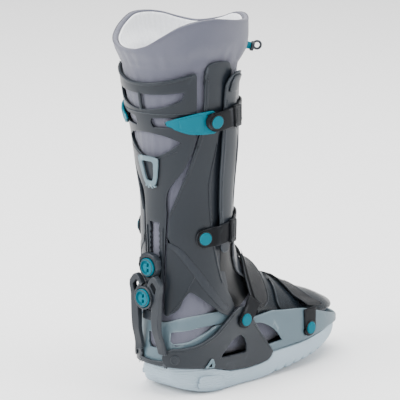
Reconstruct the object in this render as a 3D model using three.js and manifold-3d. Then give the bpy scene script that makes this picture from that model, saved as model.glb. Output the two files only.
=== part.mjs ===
// Medical walking boot: a padded liner held by a hard calf shell, side shells, a foot shell on a rocker
// sole and an ankle frame. Millimetres, X forward to the toe, Y to the boot's left, Z up.
import * as THREE from 'three';
import { mergeVertices } from 'three/addons/utils/BufferGeometryUtils.js';
import Module from 'manifold-3d';

const wasm = await Module();
wasm.setup();

// Overall sizes
const PIVOT_HEIGHT = 78;
const LEG_RISE = 358;
const CALF_DEPTH = 80;
const CALF_WIDTH = 76;
const FOOT_LENGTH = 296;
const BALL_WIDTH = 52;
const HEEL_BACK = 0.69 * CALF_DEPTH;

// How the calf's width goes over into the foot's at the ankle: the calf's share of BALL_WIDTH there,
// and the shares of LEG_RISE between which it happens
const ANKLE_SPREAD = 19 / 13;
const SPREAD_LOW = 0.1;
const SPREAD_RANGE = 0.35;
// The part of LEG_RISE that a step of one PIVOT_HEIGHT above the ankle stands for in the tables
const ANKLE_STEP = 0.2179;

// Walls and clearances
const SHELL = 3;
const LINER_WALL = 6;
const LINING = 2;
const FIT = 0.4;
const STACK_FIT = 0.9;
const SOFT_FIT = 1.6;
const GUARD_SEAT = 0.3;
const COVER_SEAT = 1.3;
const FRAME_WALL = 3.4;
const STRAP = 2.2;
const TAB = 2.6;

// Small parts
const RIVET_RADIUS = 7.2;
const RIVET_CAP = 2.2;
const RIVET_STEM = 3;
const KNOB_RADIUS = 10.4;
const KNOB_HEIGHT = 4;
const KNOB_CLEARANCE = 0.5;
const KNOB_SLOT = 3;
const HOUSING_DEPTH = 9;
const YOKE_DEPTH = 10;
const TONGUE_DEPTH = 4.2;
const TONGUE_HALF = 5.2;
const RACK_PITCH = 6.4;
const RACK_TOOTH = 2.2;
const RACK_HALF_GAP = 8.4;
const PIN_RADIUS = 5.2;
const CALF_STRAP_WIDTH = 25;
const SHIN_STRAP_WIDTH = 26;
const TAB_RADIUS = 11.5;
const KEY_WALL = 3;
const VALVE_RADIUS = 5;
const VALVE_LENGTH = 6;
const LOOP_RADIUS = 4.3;
const LOOP_WIRE = 1.4;
const TREAD_DEPTH = 2.4;
const TREAD_PITCH = 15;

const COLORS = {
  shell: 0x4b5057, frame: 0x50545a, foot: 0x8c9ba0, sole: 0xb4c0c8, fabric: 0x8c8e98, terry: 0xe6e8ee,
  teal: 0x0096a5, strap: 0x424246, cover: 0x4c545c, key: 0xaebcc0, pad: 0x5c6066,
};

const clamp = (value, low, high) => Math.min(high, Math.max(low, value));
const ease = (value) => {
  const t = clamp(value, 0, 1);
  return t * t * (3 - 2 * t);
};
const radians = (degrees) => (degrees * Math.PI) / 180;

// Height of a share of the leg: 0 is the ankle rivet and 1 the highest point of the rim.
const up = (share) => PIVOT_HEIGHT + share * LEG_RISE;

// Height of a table's value: up to 1 a share of PIVOT_HEIGHT, and above it steps up the leg
const level = (value) => PIVOT_HEIGHT * Math.min(value, 1) + LEG_RISE * ANKLE_STEP * Math.max(value - 1, 0);

// Width that the leg's half widths are shares of: the calf's, which goes over into the foot's at the ankle
function legWidth(share) {
  const t = ease((share - SPREAD_LOW) / SPREAD_RANGE);
  return ANKLE_SPREAD * BALL_WIDTH * (1 - t) + CALF_WIDTH * t;
}
const footWidth = (height) => legWidth((height - PIVOT_HEIGHT) / LEG_RISE) / ANKLE_SPREAD;

// A smooth value between the rows of a table, whose first column rises.
function between(rows, at, column) {
  const last = rows.length - 1;
  let i = 0;
  while (i < last - 1 && at > rows[i + 1][0]) i += 1;
  const slope = (j) => {
    const a = rows[Math.max(j - 1, 0)];
    const b = rows[Math.min(j + 1, last)];
    return (b[column] - a[column]) / (b[0] - a[0]);
  };
  const [a, b] = [rows[i], rows[i + 1]];
  const span = b[0] - a[0];
  const t = clamp((at - a[0]) / span, 0, 1);
  const [m, n] = [slope(i) * span, slope(i + 1) * span];
  const t2 = t * t;
  const t3 = t2 * t;
  return (2 * t3 - 3 * t2 + 1) * a[column] + (t3 - 2 * t2 + t) * m
    + (3 * t2 - 2 * t3) * b[column] + (t3 - t2) * n;
}

// Outside of the hard shells round the leg
// share of the leg's rise | centre, back depth, front depth as shares of CALF_DEPTH | half width of legWidth
const LEG = [
  [-0.218, 0, 0.825, 1.56, 0.59],
  [-0.075, 0, 0.81, 1.47, 0.63],
  [0.008, 0, 0.765, 1.3, 0.678],
  [0.092, -0.012, 0.715, 1.06, 0.676],
  [0.176, -0.018, 0.676, 0.8, 0.664],
  [0.243, -0.022, 0.67, 0.7, 0.67],
  [0.288, -0.025, 0.669, 0.669, 0.678],
  [0.427, -0.02, 0.688, 0.688, 0.698],
  [0.567, -0.05, 0.762, 0.762, 0.77],
  [0.634, -0.076, 0.782, 0.782, 0.796],
  [0.676, -0.112, 0.806, 0.806, 0.816],
  [0.746, -0.154, 0.832, 0.832, 0.849],
  [0.83, -0.166, 0.875, 0.875, 0.895],
  [0.872, -0.152, 0.906, 0.906, 0.928],
  [0.913, -0.162, 0.962, 0.962, 0.974],
  [0.955, -0.182, 0.987, 0.987, 0.987],
  [1, -0.188, 1, 1, 1],
];

// A point round the leg: degrees run from the back over the boot's right side to the front at 180.
function legPoint(degrees, share, out = 0) {
  const a = radians(degrees);
  const c = Math.cos(a);
  const depth = CALF_DEPTH * between(LEG, share, c > 0 ? 2 : 3) + out;
  const width = legWidth(share) * between(LEG, share, 4) + out;
  const centre = CALF_DEPTH * between(LEG, share, 1);
  return new THREE.Vector3(centre - depth * c, -width * Math.sin(a), up(share));
}

// Plan of the foot shell's outside, from the middle of the heel along the right side to the toe
// distance from the heel as a share of FOOT_LENGTH | half width as a share of BALL_WIDTH
const PLAN = [
  [0, 0], [0.01, 0.346], [0.037, 0.558], [0.1, 0.731], [0.2, 0.827], [0.332, 0.865], [0.482, 0.942],
  [0.631, 1], [0.748, 0.981], [0.847, 0.865], [0.914, 0.692], [0.963, 0.462], [0.99, 0.231], [1, 0],
];
const planCurve = new THREE.CatmullRomCurve3([
  ...PLAN.map(([x, w]) => new THREE.Vector3(x * FOOT_LENGTH - HEEL_BACK, -w * BALL_WIDTH, 0)),
  ...PLAN.slice(1, -1).reverse().map(([x, w]) => new THREE.Vector3(x * FOOT_LENGTH - HEEL_BACK, w * BALL_WIDTH, 0)),
], true);
planCurve.arcLengthDivisions = 600;

// A point on the foot's wall: 0 is the middle of the heel, 1 the toe, and the left side is negative.
function wallPoint(share, height, out = 0) {
  const t = (share / 2 + 1) % 1;
  const point = planCurve.getPointAt(t);
  const along = planCurve.getTangentAt(t);
  return new THREE.Vector3(point.x + along.y * out, point.y - along.x * out, height * PIVOT_HEIGHT);
}

// Half width of the foot shell's outside at a distance x from the leg's axis
const planRows = PLAN.map(([x, w]) => [x * FOOT_LENGTH - HEEL_BACK, w * BALL_WIDTH]);
const halfWidth = (x) => between(planRows, clamp(x, planRows[0][0], planRows[13][0]), 1);

// Instep and top of the foot, from the shin to the toe
// share of the way | top x, top z | middle x, middle z | half width
// (x as shares of FOOT_LENGTH, z as shares of PIVOT_HEIGHT, width as a share of BALL_WIDTH)
const TOP = [
  [0, 0.163, 2.56, -0.007, 2.5, 0.94],
  [0.1, 0.165, 2.32, 0, 2.22, 0.925],
  [0.2, 0.185, 2.06, 0.01, 1.83, 0.9],
  [0.3, 0.23, 1.82, 0.041, 1.42, 0.86],
  [0.4, 0.315, 1.6, 0.173, 1.02, 0.85],
  [0.52, 0.427, 1.31, 0.33, 0.8, 0.85],
  [0.64, 0.539, 1.09, 0.473, 0.7, 0.88],
  [0.77, 0.661, 0.93, 0.615, 0.65, 0.81],
  [0.89, 0.747, 0.78, 0.702, 0.6, 0.63],
  [1, 0.798, 0.68, 0.758, 0.56, 0.4],
];

// A point on the top of the foot: 0 degrees is the middle line and 90 the right side.
function topPoint(degrees, share, out = 0) {
  const a = radians(degrees);
  const top = [FOOT_LENGTH * between(TOP, share, 1), level(between(TOP, share, 2))];
  const middle = [FOOT_LENGTH * between(TOP, share, 3), level(between(TOP, share, 4))];
  const reach = Math.hypot(top[0] - middle[0], top[1] - middle[1]);
  const direction = [(top[0] - middle[0]) / reach, (top[1] - middle[1]) / reach];
  const width = footWidth(middle[1]) * between(TOP, share, 5) + out;
  return new THREE.Vector3(
    middle[0] + direction[0] * (reach + out) * Math.cos(a),
    -width * Math.sin(a),
    middle[1] + direction[1] * (reach + out) * Math.cos(a),
  );
}

// Merges the corners of a closed geometry and turns its faces out.
function closed(geometry) {
  const plain = new THREE.BufferGeometry();
  plain.setAttribute('position', geometry.getAttribute('position').clone());
  if (geometry.index) plain.setIndex(geometry.index.clone());
  const merged = mergeVertices(plain, 1e-4);
  const p = merged.getAttribute('position');
  const old = merged.index.array;
  const [a, b, c] = [new THREE.Vector3(), new THREE.Vector3(), new THREE.Vector3()];
  const index = [];
  let volume = 0;
  for (let i = 0; i < old.length; i += 3) {
    const [u, v, w] = [old[i], old[i + 1], old[i + 2]];
    if (u === v || v === w || u === w) continue;
    index.push(u, v, w);
    a.fromBufferAttribute(p, u);
    b.fromBufferAttribute(p, v);
    c.fromBufferAttribute(p, w);
    volume += a.dot(b.cross(c));
  }
  if (volume < 0) {
    for (let i = 0; i < index.length; i += 3) [index[i], index[i + 1]] = [index[i + 1], index[i]];
  }
  merged.setIndex(index);
  return merged;
}

function toSolid(geometry) {
  const merged = closed(geometry);
  return new wasm.Manifold(new wasm.Mesh({
    numProp: 3,
    vertProperties: new Float32Array(merged.getAttribute('position').array),
    triVerts: new Uint32Array(merged.index.array),
  }));
}

function toGeometry(solid) {
  const mesh = solid.getMesh();
  const geometry = new THREE.BufferGeometry();
  geometry.setAttribute('position', new THREE.BufferAttribute(new Float32Array(mesh.vertProperties), 3));
  geometry.setIndex(new THREE.BufferAttribute(new Uint32Array(mesh.triVerts), 1));
  return geometry;
}

const join = (first, ...others) => toGeometry(others.reduce((sum, one) => sum.add(toSolid(one)), toSolid(first)));
const cut = (first, ...others) => toGeometry(others.reduce((rest, one) => rest.subtract(toSolid(one)), toSolid(first)));

// Cuts loops, an outline and its holes, at upright lines into strips with their own corners on each line.
const withCuts = (loop, lines) => loop.flatMap((q, i) => {
  const next = loop[(i + 1) % loop.length];
  const crossed = lines.filter((x) => (x - q.x) * (x - next.x) < 0);
  crossed.sort((m, n) => (next.x > q.x ? m - n : n - m));
  const cuts = crossed.map((x) => ({ x, y: q.y + ((next.y - q.y) * (x - q.x)) / (next.x - q.x), onLine: true }));
  return [{ x: q.x, y: q.y }, ...cuts];
});

function strips(loops, lines) {
  const count = lines.length + 1;
  const split = loops.map((loop) => withCuts(loop, lines));
  const whole = Array.from({ length: count }, () => []);
  const chains = Array.from({ length: count }, () => []);
  const stripAt = (x) => lines.filter((line) => line < x).length;
  for (const loop of split) {
    const first = loop.findIndex((q) => q.onLine);
    if (first < 0) {
      whole[stripAt(loop[0].x)].push(loop);
      continue;
    }
    const ordered = [...loop.slice(first), ...loop.slice(0, first), loop[first]];
    let chain = [ordered[0]];
    for (const q of ordered.slice(1)) {
      chain.push(q);
      if (q.onLine) {
        chains[stripAt((chain[0].x + chain[1].x) / 2)].push(chain);
        chain = [q];
      }
    }
  }
  const polygons = [];
  for (let s = 0; s < count; s += 1) {
    const waiting = new Set(chains[s]);
    const outlines = [];
    while (waiting.size) {
      const start = [...waiting][0];
      const polygon = [];
      let chain = start;
      do {
        waiting.delete(chain);
        polygon.push(...chain);
        const end = chain[chain.length - 1];
        const rightSide = s < lines.length && end.x === lines[s];
        const after = chains[s].filter((c) => c[0].x === end.x && (rightSide ? c[0].y > end.y : c[0].y < end.y));
        after.sort((m, n) => (rightSide ? m[0].y - n[0].y : n[0].y - m[0].y));
        [chain] = after;
      } while (chain !== start);
      outlines.push({ polygon, holes: [] });
    }
    for (const loop of whole[s]) {
      if (!THREE.ShapeUtils.isClockWise(loop)) {
        outlines.push({ polygon: loop, holes: [] });
      }
    }
    for (const loop of whole[s]) {
      if (!THREE.ShapeUtils.isClockWise(loop)) continue;
      outlines.find(({ polygon }) => inside(loop[0], polygon)).holes.push(loop);
    }
    polygons.push(...outlines);
  }
  return polygons;
}

function inside(point, polygon) {
  let within = false;
  polygon.forEach((q, i) => {
    const r = polygon[(i + 1) % polygon.length];
    const spans = (q.y > point.y) !== (r.y > point.y);
    if (spans && point.x < q.x + ((r.x - q.x) * (point.y - q.y)) / (r.y - q.y)) within = !within;
  });
  return within;
}

const quarter = (loop) => loop.map((q) => ({ x: q.y, y: -q.x }));
const back = (loop) => loop.map((q) => ({ x: -q.y, y: q.x }));

function gridLines(values, step, chosen) {
  const [low, high] = [Math.min(...values), Math.max(...values)];
  const count = Math.ceil(high / step) - Math.floor(low / step) + 1;
  const lines = chosen ?? Array.from({ length: count }, (_, i) => (Math.floor(low / step) + i) * step);
  return lines.map((line) => line + 0.0137).filter((line) => line > low + 0.1 && line < high - 0.1);
}

// A plate with an outline and holes, laid on a surface between two distances from it
function plate(surface, unit, outline, options) {
  const { holes = [], inner, outer, lift = () => 0, across = 16, along = 52, columns, levels } = options;
  const flatten = (points, clockwise) => {
    const path = points.map(([a, b]) => new THREE.Vector2(a * unit[0], b * unit[1]));
    return THREE.ShapeUtils.isClockWise(path) === clockwise ? path : path.reverse();
  };
  const loops = [flatten(outline, false), ...holes.map((hole) => flatten(hole, true))];
  const upright = gridLines(loops[0].map((q) => q.x), across, columns?.map((a) => a * unit[0]));
  const level = gridLines(loops[0].map((q) => q.y), along, levels?.map((b) => b * unit[1]));
  const cells = strips(loops, upright).flatMap(({ polygon, holes: inPolygon }) => (
    strips([polygon, ...inPolygon].map(quarter), level)
  )).map(({ polygon, holes: inCell }) => [polygon, ...inCell].map(back));
  const edges = loops.map((loop) => back(withCuts(quarter(withCuts(loop, upright)), level)));
  const positions = [];
  const corner = (q, w) => {
    const [a, b] = [q.x / unit[0], q.y / unit[1]];
    positions.push(...surface(a, b, inner + (outer - inner) * w + lift(a, b)).toArray());
  };
  for (const cell of cells) {
    const corners = cell.flat();
    const plain = cell.map((loop) => loop.map((q) => new THREE.Vector2(q.x, q.y)));
    for (const [i, j, k] of THREE.ShapeUtils.triangulateShape(plain[0], plain.slice(1))) {
      for (const q of [i, j, k]) corner(corners[q], 1);
      for (const q of [i, k, j]) corner(corners[q], 0);
    }
  }
  for (const loop of edges) {
    loop.forEach((q, i) => {
      const r = loop[(i + 1) % loop.length];
      for (const [p, w] of [[q, 0], [r, 0], [r, 1], [q, 0], [r, 1], [q, 1]]) corner(p, w);
    });
  }
  const geometry = new THREE.BufferGeometry();
  geometry.setAttribute('position', new THREE.Float32BufferAttribute(positions, 3));
  return geometry;
}

// Millimetres that one step of each surface's two coordinates stands for
const LEG_UNIT = [1.05, LEG_RISE];
const WALL_UNIT = [1.155 * FOOT_LENGTH, PIVOT_HEIGHT];
const TOP_UNIT = [0.85, 1.1 * FOOT_LENGTH];

// Grid lines of the foot's wall and of its top, closer where they bend more
const WALL_HALF = [0.015, 0.042, 0.073, 0.11, 0.17, 0.26, 0.35, 0.44, 0.54, 0.65, 0.75, 0.83, 0.89, 0.94, 0.98, 1.01];
const WALL_COLUMNS = [...WALL_HALF.map((a) => -a).reverse(), ...WALL_HALF];
const TOP_COLUMNS = [-70, -50, -30, -10, 10, 30, 50, 70];
const TOP_LEVELS = [0.15, 0.22, 0.29, 0.36, 0.43, 0.5, 0.57, 0.65, 0.74, 0.83];
const FRAME_LEVELS = [0.72, 0.83, 0.94];

const mirror = (points) => points.map(([a, b]) => [-a, b]);

// Points along a smooth line through the given ones, end points kept
function flow(points, steps = 3) {
  const curve = new THREE.CatmullRomCurve3(points.map(([a, b]) => new THREE.Vector3(a, b * 100, 0)), false, 'catmullrom');
  return curve.getPoints((points.length - 1) * steps).map((p) => [p.x, p.y / 100]);
}

// A strip's outline with a round end: centre, half width and far end, all in one surface's coordinates
function strip(unit, centre, radius, far, slope = 0, steps = 5) {
  const points = [];
  for (let i = 0; i <= steps; i += 1) {
    const a = Math.PI / 2 + (Math.PI * i) / steps;
    points.push([centre[0] + (radius * Math.cos(a)) / unit[0], centre[1] + (radius * Math.sin(a)) / unit[1]]);
  }
  const end = centre[1] + slope;
  points.push([far, end - radius / unit[1]], [far, end + radius / unit[1]]);
  return points;
}

// Rings of equal count joined to a closed skin
function loft(rings) {
  const n = rings[0].length;
  const positions = [];
  const face = (...points) => points.forEach((q) => positions.push(...q.toArray()));
  for (let j = 0; j + 1 < rings.length; j += 1) {
    for (let i = 0; i < n; i += 1) {
      const k = (i + 1) % n;
      face(rings[j][i], rings[j][k], rings[j + 1][k]);
      face(rings[j][i], rings[j + 1][k], rings[j + 1][i]);
    }
  }
  for (const [ring, turned] of [[rings[0], true], [rings[rings.length - 1], false]]) {
    const middle = ring.reduce((sum, q) => sum.add(q), new THREE.Vector3()).divideScalar(n);
    for (let i = 0; i < n; i += 1) {
      const k = (i + 1) % n;
      if (turned) face(middle, ring[k], ring[i]);
      else face(middle, ring[i], ring[k]);
    }
  }
  const geometry = new THREE.BufferGeometry();
  geometry.setAttribute('position', new THREE.Float32BufferAttribute(positions, 3));
  return geometry;
}

// Where a small part sits on a surface: its Z points out of the surface and its Y along the second coordinate.
function seat(surface, a, b, out, step = [1, 0.004]) {
  const origin = surface(a, b, out);
  const x = surface(a + step[0], b, out).sub(surface(a - step[0], b, out)).normalize();
  const y = surface(a, b + step[1], out).sub(surface(a, b - step[1], out)).normalize();
  const z = x.clone().cross(y).normalize();
  y.crossVectors(z, x);
  return new THREE.Matrix4().makeBasis(x, y, z).setPosition(origin);
}

const placed = (geometry, matrix) => geometry.clone().applyMatrix4(matrix);

// A round part along Z from pairs of radius and height
function turned(pairs, segments = 10) {
  const profile = pairs.map(([r, h]) => new THREE.Vector2(r, h));
  return new THREE.LatheGeometry(profile, segments).rotateX(Math.PI / 2);
}

const disc = (radius, low, high, segments = 10) => turned([[0, low], [radius, low], [radius, high], [0, high]], segments);

const boot = new THREE.Group();

function add(name, geometry, color, finish = {}) {
  const mesh = new THREE.Mesh(closed(geometry), new THREE.MeshStandardMaterial({
    color, roughness: finish.roughness ?? 0.5, metalness: 0,
  }));
  mesh.geometry.computeVertexNormals();
  mesh.name = name;
  boot.add(mesh);
  return mesh;
}

// Sole: sections across the foot
// share of FOOT_LENGTH from the heel | bottom height, side top height as shares of PIVOT_HEIGHT | wider than the shell
const SOLE = [
  [0.012, 0.25, 0.46, -3],
  [0.037, 0.14, 0.445, -2],
  [0.075, 0.07, 0.425, 2],
  [0.16, 0, 0.38, 6],
  [0.25, 0, 0.28, 6],
  [0.34, 0, 0.245, 6],
  [0.41, 0, 0.26, 6],
  [0.455, 0.015, 0.29, 6],
  [0.482, 0.025, 0.385, 6],
  [0.63, 0.085, 0.405, 5],
  [0.75, 0.15, 0.455, 3.6],
  [0.84, 0.225, 0.49, 1.6],
  [0.91, 0.28, 0.47, 0],
  [0.955, 0.32, 0.45, -1],
  [0.98, 0.355, 0.445, -1.5],
];
const soleX = SOLE.map(([share]) => share * FOOT_LENGTH - HEEL_BACK);
function soleTop(x) {
  const last = SOLE.length - 1;
  const at = clamp(x, soleX[0], soleX[last]);
  const i = Math.max(0, soleX.findIndex((q) => q >= at) - 1);
  const t = (at - soleX[i]) / (soleX[i + 1] - soleX[i]);
  return PIVOT_HEIGHT * (SOLE[i][2] + t * (SOLE[i + 1][2] - SOLE[i][2]));
}

// The share of the wall's way that lies at a distance x from the leg's axis
function wallShare(x) {
  let [low, high] = [0, 1];
  for (let i = 0; i < 40; i += 1) {
    const middle = (low + high) / 2;
    if (wallPoint(middle, 0).x < x) low = middle;
    else high = middle;
  }
  return low;
}

// The lower edge of what stands on the sole's rim, between two shares of the wall
const onSole = (from, to) => [from, ...soleX.map(wallShare).filter((a) => a > from + 0.004 && a < to - 0.004), to]
  .map((a) => [a, (soleTop(wallPoint(a, 0).x) + FIT) / PIVOT_HEIGHT]);
const soleRings = SOLE.map(([share, low, high, wider]) => {
  const x = share * FOOT_LENGTH - HEEL_BACK;
  const width = Math.max(halfWidth(Math.max(x, 2 - HEEL_BACK)) + wider, 10);
  const [bottom, top] = [low * PIVOT_HEIGHT, high * PIVOT_HEIGHT];
  const rise = top - bottom;
  const half = [
    [0, bottom], [width - 9, bottom], [width - 4, bottom + 0.16 * rise], [width - 0.5, bottom + 0.5 * rise],
    [width - 0.4, top - 3], [width - 2.4, top], [0, top],
  ];
  const other = half.slice(1, -1).reverse().map(([y, z]) => [-y, z]);
  return [...half, ...other].map(([y, z]) => new THREE.Vector3(x, -y, z));
});
const treads = [];
for (let i = 0; i < 6; i += 1) {
  const x = 0.5 * FOOT_LENGTH - HEEL_BACK + i * TREAD_PITCH;
  const share = (x + HEEL_BACK) / FOOT_LENGTH;
  const low = PIVOT_HEIGHT * between(SOLE, share, 1);
  const groove = new THREE.BoxGeometry(3.4, 3 * BALL_WIDTH, 2 * TREAD_DEPTH).rotateY(-0.18);
  treads.push(groove.translate(x, 0, low));
}
const clips = [1, -1].map((side) => plate(
  (a, b, out) => wallPoint(side * a, b, out), WALL_UNIT,
  [[0.148, 0.12], [0.256, 0.06], [0.25, 0.235], [0.2, 0.28], [0.158, 0.3]],
  { inner: 3.4, outer: 8.4, columns: WALL_COLUMNS, levels: [] },
));
add('sole', join(cut(loft(soleRings), ...treads), ...clips), COLORS.sole, { roughness: 0.65 });

// Foot shell: two walls that meet at heel and toe, a floor on the sole
const wallBottom = [[-0.02, (soleTop(-HEEL_BACK) + FIT) / PIVOT_HEIGHT], ...onSole(0.004, 0.99), [1.02, (soleTop(FOOT_LENGTH) + FIT) / PIVOT_HEIGHT]];
const wallTop = [
  ...flow([[1.02, 0.53], [0.94, 0.535], [0.9, 0.55], [0.84, 0.635], [0.745, 0.77], [0.64, 0.915], [0.54, 0.975]], 1),
  ...flow([[0.49, 1.01], [0.42, 0.99], [0.37, 0.96]], 1),
  ...flow([[0.31, 1.03], [0.265, 1.18], [0.215, 1.21], [0.111, 1.2], [0.05, 1.13], [-0.02, 1.11]], 1),
];
const heelWindow = [
  ...flow([[0.066, 0.98], [0.12, 1.0], [0.168, 1.02], [0.247, 1.015]], 1),
  ...flow([[0.262, 1.0], [0.22, 0.995], [0.19, 0.94], [0.126, 0.84], [0.08, 0.765]], 1),
  [0.063, 0.85],
];
const middleWindow = flow([[0.225, 0.5], [0.235, 0.6], [0.29, 0.78], [0.33, 0.84], [0.365, 0.66], [0.368, 0.47], [0.3, 0.42]], 1);
const quarterWindow = [
  ...flow([[0.402, 0.89], [0.44, 0.86], [0.48, 0.77], [0.51, 0.66], [0.532, 0.535]], 1),
  ...flow([[0.53, 0.52], [0.46, 0.5], [0.4, 0.5]], 1),
];
const heelHole = [[-0.012, 0.72], [0.012, 0.72], [0.02, 0.78], [0.02, 0.95], [-0.02, 0.95], [-0.02, 0.78]];
const rightWall = plate(wallPoint, WALL_UNIT, [...wallBottom, ...wallTop], {
  holes: [heelWindow, middleWindow, quarterWindow], inner: 0, outer: SHELL, columns: WALL_COLUMNS, levels: [],
});
const leftWall = plate(wallPoint, WALL_UNIT, mirror([...wallBottom, ...wallTop]), {
  holes: [heelWindow, middleWindow, quarterWindow].map(mirror), inner: 0, outer: SHELL, columns: WALL_COLUMNS, levels: [],
});
const floorX = [0.016, 0.05, 0.1, ...SOLE.slice(3, -1).map(([share]) => share), 0.975];
const floorRings = floorX.map((share) => {
  const x = share * FOOT_LENGTH - HEEL_BACK;
  const y = halfWidth(x) + 0.4;
  const z = soleTop(x) + FIT;
  return [[y, z], [y, z + SHELL], [-y, z + SHELL], [-y, z]].map(([b, c]) => new THREE.Vector3(x, b, c));
});
const footShell = join(rightWall, leftWall, loft(floorRings));

// Ankle frame: a strip along the sole and two arms that meet at the ankle rivet, on both sides of the foot
const frameLift = (share, height) => 2.8 * ease((height - 0.72) / 0.22);
const frameSide = [
  ...onSole(0.046, 0.468), [0.482, 0.4], [0.478, 0.43],
  [0.381, 0.985], [0.345, 1.2], [0.33, 1.23], [0.31, 1.215],
  ...flow([[0.287, 1.165], [0.241, 1.013], [0.207, 0.903], [0.15, 0.79], [0.104, 0.757], [0.071, 0.745]], 1),
  [0.046, 0.69], [0.04, 0.6],
];
const frameWindow = [
  ...flow([[0.325, 0.79], [0.345, 0.72], [0.356, 0.62]], 1), [0.355, 0.5], [0.24, 0.52],
  ...flow([[0.245, 0.56], [0.284, 0.72]], 1),
];
const frameArms = [1, -1].map((side) => plate(
  (a, b, out) => wallPoint(side * a, b, out), WALL_UNIT, frameSide, {
    holes: [frameWindow], inner: SHELL + STACK_FIT, outer: SHELL + STACK_FIT + FRAME_WALL, lift: frameLift,
    columns: WALL_COLUMNS, levels: FRAME_LEVELS,
  },
));
const heelBandLow = onSole(0.004, 0.06);
const heelBand = plate(wallPoint, WALL_UNIT, [
  ...mirror(heelBandLow).reverse(), ...heelBandLow, [0.056, 0.56], [0, 0.545], [-0.056, 0.56],
], { inner: SHELL + STACK_FIT, outer: SHELL + STACK_FIT + FRAME_WALL, columns: WALL_COLUMNS, levels: [] });

// Calf shell: a spine at the back with a toothed slot, two bands round the calf and open windows
const rackTop = 0.344;
const rackBottom = 0.06;
const rackEdge = [];
const teeth = Math.floor(((rackTop - rackBottom) * LEG_RISE) / RACK_PITCH);
for (let i = 0; i < teeth; i += 1) {
  const share = rackBottom + (i * RACK_PITCH) / LEG_RISE;
  const half = RACK_PITCH / 2 / LEG_RISE;
  rackEdge.push([RACK_HALF_GAP, share], [RACK_HALF_GAP - RACK_TOOTH, share + half]);
}
rackEdge.push([RACK_HALF_GAP, rackTop]);
const rackSlot = [...rackEdge, ...mirror(rackEdge).reverse()];
const calfRight = [
  [58, 0.834], [60, 0.825], [60.5, 0.753], [59, 0.69], [57, 0.63], [53.5, 0.59],
  ...flow([[49, 0.56], [42, 0.522], [31, 0.484], [22, 0.452], [18.5, 0.42], [18.5, 0.374], [17.5, 0.33]], 1),
  [16.5, 0.29], [14.5, 0.2], [14, 0.1], [13.5, 0.03],
];
const calfTop = flow([[-58, 0.834], [-35, 0.814], [-15, 0.802], [0, 0.8], [15, 0.802], [35, 0.814], [58, 0.834]], 1);
const calfOutline = [...calfTop, ...calfRight.slice(1), ...mirror(calfRight.slice(1)).reverse()];
const upperWindow = [
  [1.6, 0.763], ...flow([[14, 0.7636], [30, 0.767], [47, 0.774]], 1), [48.5, 0.772],
  ...flow([[45, 0.748], [28, 0.727], [12, 0.716], [1.6, 0.714]], 1),
];
const beltSlot = [
  [12.5, 0.657], [10.8, 0.663], [10.2, 0.672], [10.8, 0.681], [12.5, 0.687], [44, 0.693], [44, 0.661],
];
const lowerWindow = [
  ...flow([[-38, 0.613], [-22, 0.63], [0, 0.637], [22, 0.63], [38, 0.613]], 1),
  ...flow([[39.5, 0.608], [31, 0.592], [22, 0.576], [10, 0.561], [0, 0.557], [-10, 0.561], [-22, 0.576], [-31, 0.592], [-39.5, 0.608]], 1),
];
const spineLift = (degrees, share) => 4 * ease((0.22 - share) / 0.2) * ease((24 - Math.abs(degrees)) / 6);
const calfShell = plate(legPoint, LEG_UNIT, calfOutline, {
  holes: [upperWindow, mirror(upperWindow), beltSlot, mirror(beltSlot), lowerWindow, rackSlot],
  inner: -SHELL - 0.2, outer: -0.2, lift: spineLift,
});
add('calf_shell', calfShell, COLORS.shell, { roughness: 0.42 });

// Side shells: an upright under the calf buckle that widens to a wing beside the heel, with an arch over the foot
const sideOutline = [
  ...flow([[68, 0.83], [70, 0.856], [80, 0.864], [94, 0.858], [101, 0.83]], 1),
  [98, 0.76], [88, 0.66], ...flow([[82.7, 0.621], [74, 0.48], [74, 0.435], [76, 0.37], [83, 0.26], [96, 0.14], [103, 0.088]], 1),
  [106, 0.05], [104, 0.036], [97, 0.028],
  ...flow([[91, 0.042], [78, 0.072], [64, 0.1], [52, 0.122], [47, 0.121], [41, 0.1], [36, 0.072], [22, 0.046]], 1),
  [18, 0.052], [16.5, 0.1], [17, 0.2], [19, 0.29],
  ...flow([[20.5, 0.335], [21.5, 0.374], [28, 0.413], [37, 0.467], [44, 0.506], [53, 0.571], [59.5, 0.629], [66, 0.7], [68, 0.747]], 1),
];
const ribCourse = [
  ...flow([[19.5, 0.288], [38, 0.264], [56, 0.211], [78, 0.134], [99, 0.055]], 1),
  ...flow([[93, 0.048], [70, 0.119], [48, 0.196], [33, 0.246], [21, 0.272]], 1),
];
const sideShells = {};
for (const [name, side] of [['right', 1], ['left', -1]]) {
  const surface = (a, b, out) => legPoint(side * a, b, out);
  const wing = plate(surface, LEG_UNIT, sideOutline, { inner: -SHELL - 0.2, outer: -0.2 });
  const rib = plate(surface, LEG_UNIT, ribCourse, { inner: -1.2, outer: 0.9 });
  sideShells[name] = join(wing, rib);
}

// Front shell: a shin plate with a bar and a domed end on each side, and leaf-shaped openings
const frontLift = (degrees, share) => {
  const fromBar = 3.8 * ease((118 - Math.abs(degrees)) / 12);
  const flare = 3 * ease((share - 0.77) / 0.05) * ease((128 - Math.abs(degrees)) / 14);
  return fromBar + flare;
};
const frontRight = [
  ...flow([[180, 0.8], [150, 0.792], [128, 0.776]], 1),
  ...flow([[121, 0.775], [119, 0.806], [111, 0.824], [101, 0.826], [93, 0.81], [90, 0.79]], 1),
  [89, 0.72], [84.5, 0.6], [83, 0.5], [84, 0.4], [87, 0.3],
  ...flow([[88.5, 0.256], [92, 0.243], [99, 0.243], [103, 0.256]], 1),
  ...flow([[112, 0.29], [140, 0.315], [180, 0.325]], 1),
];
const frontFlip = frontRight.slice(1, -1).reverse().map(([a, b]) => [360 - a, b]);
const leaf = flow([[112, 0.62], [121, 0.6], [128, 0.53], [127, 0.45], [120, 0.385], [113, 0.45], [110, 0.54], [112, 0.62]], 1).slice(0, -1);
const leafFlip = leaf.map(([a, b]) => [360 - a, b]);
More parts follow.
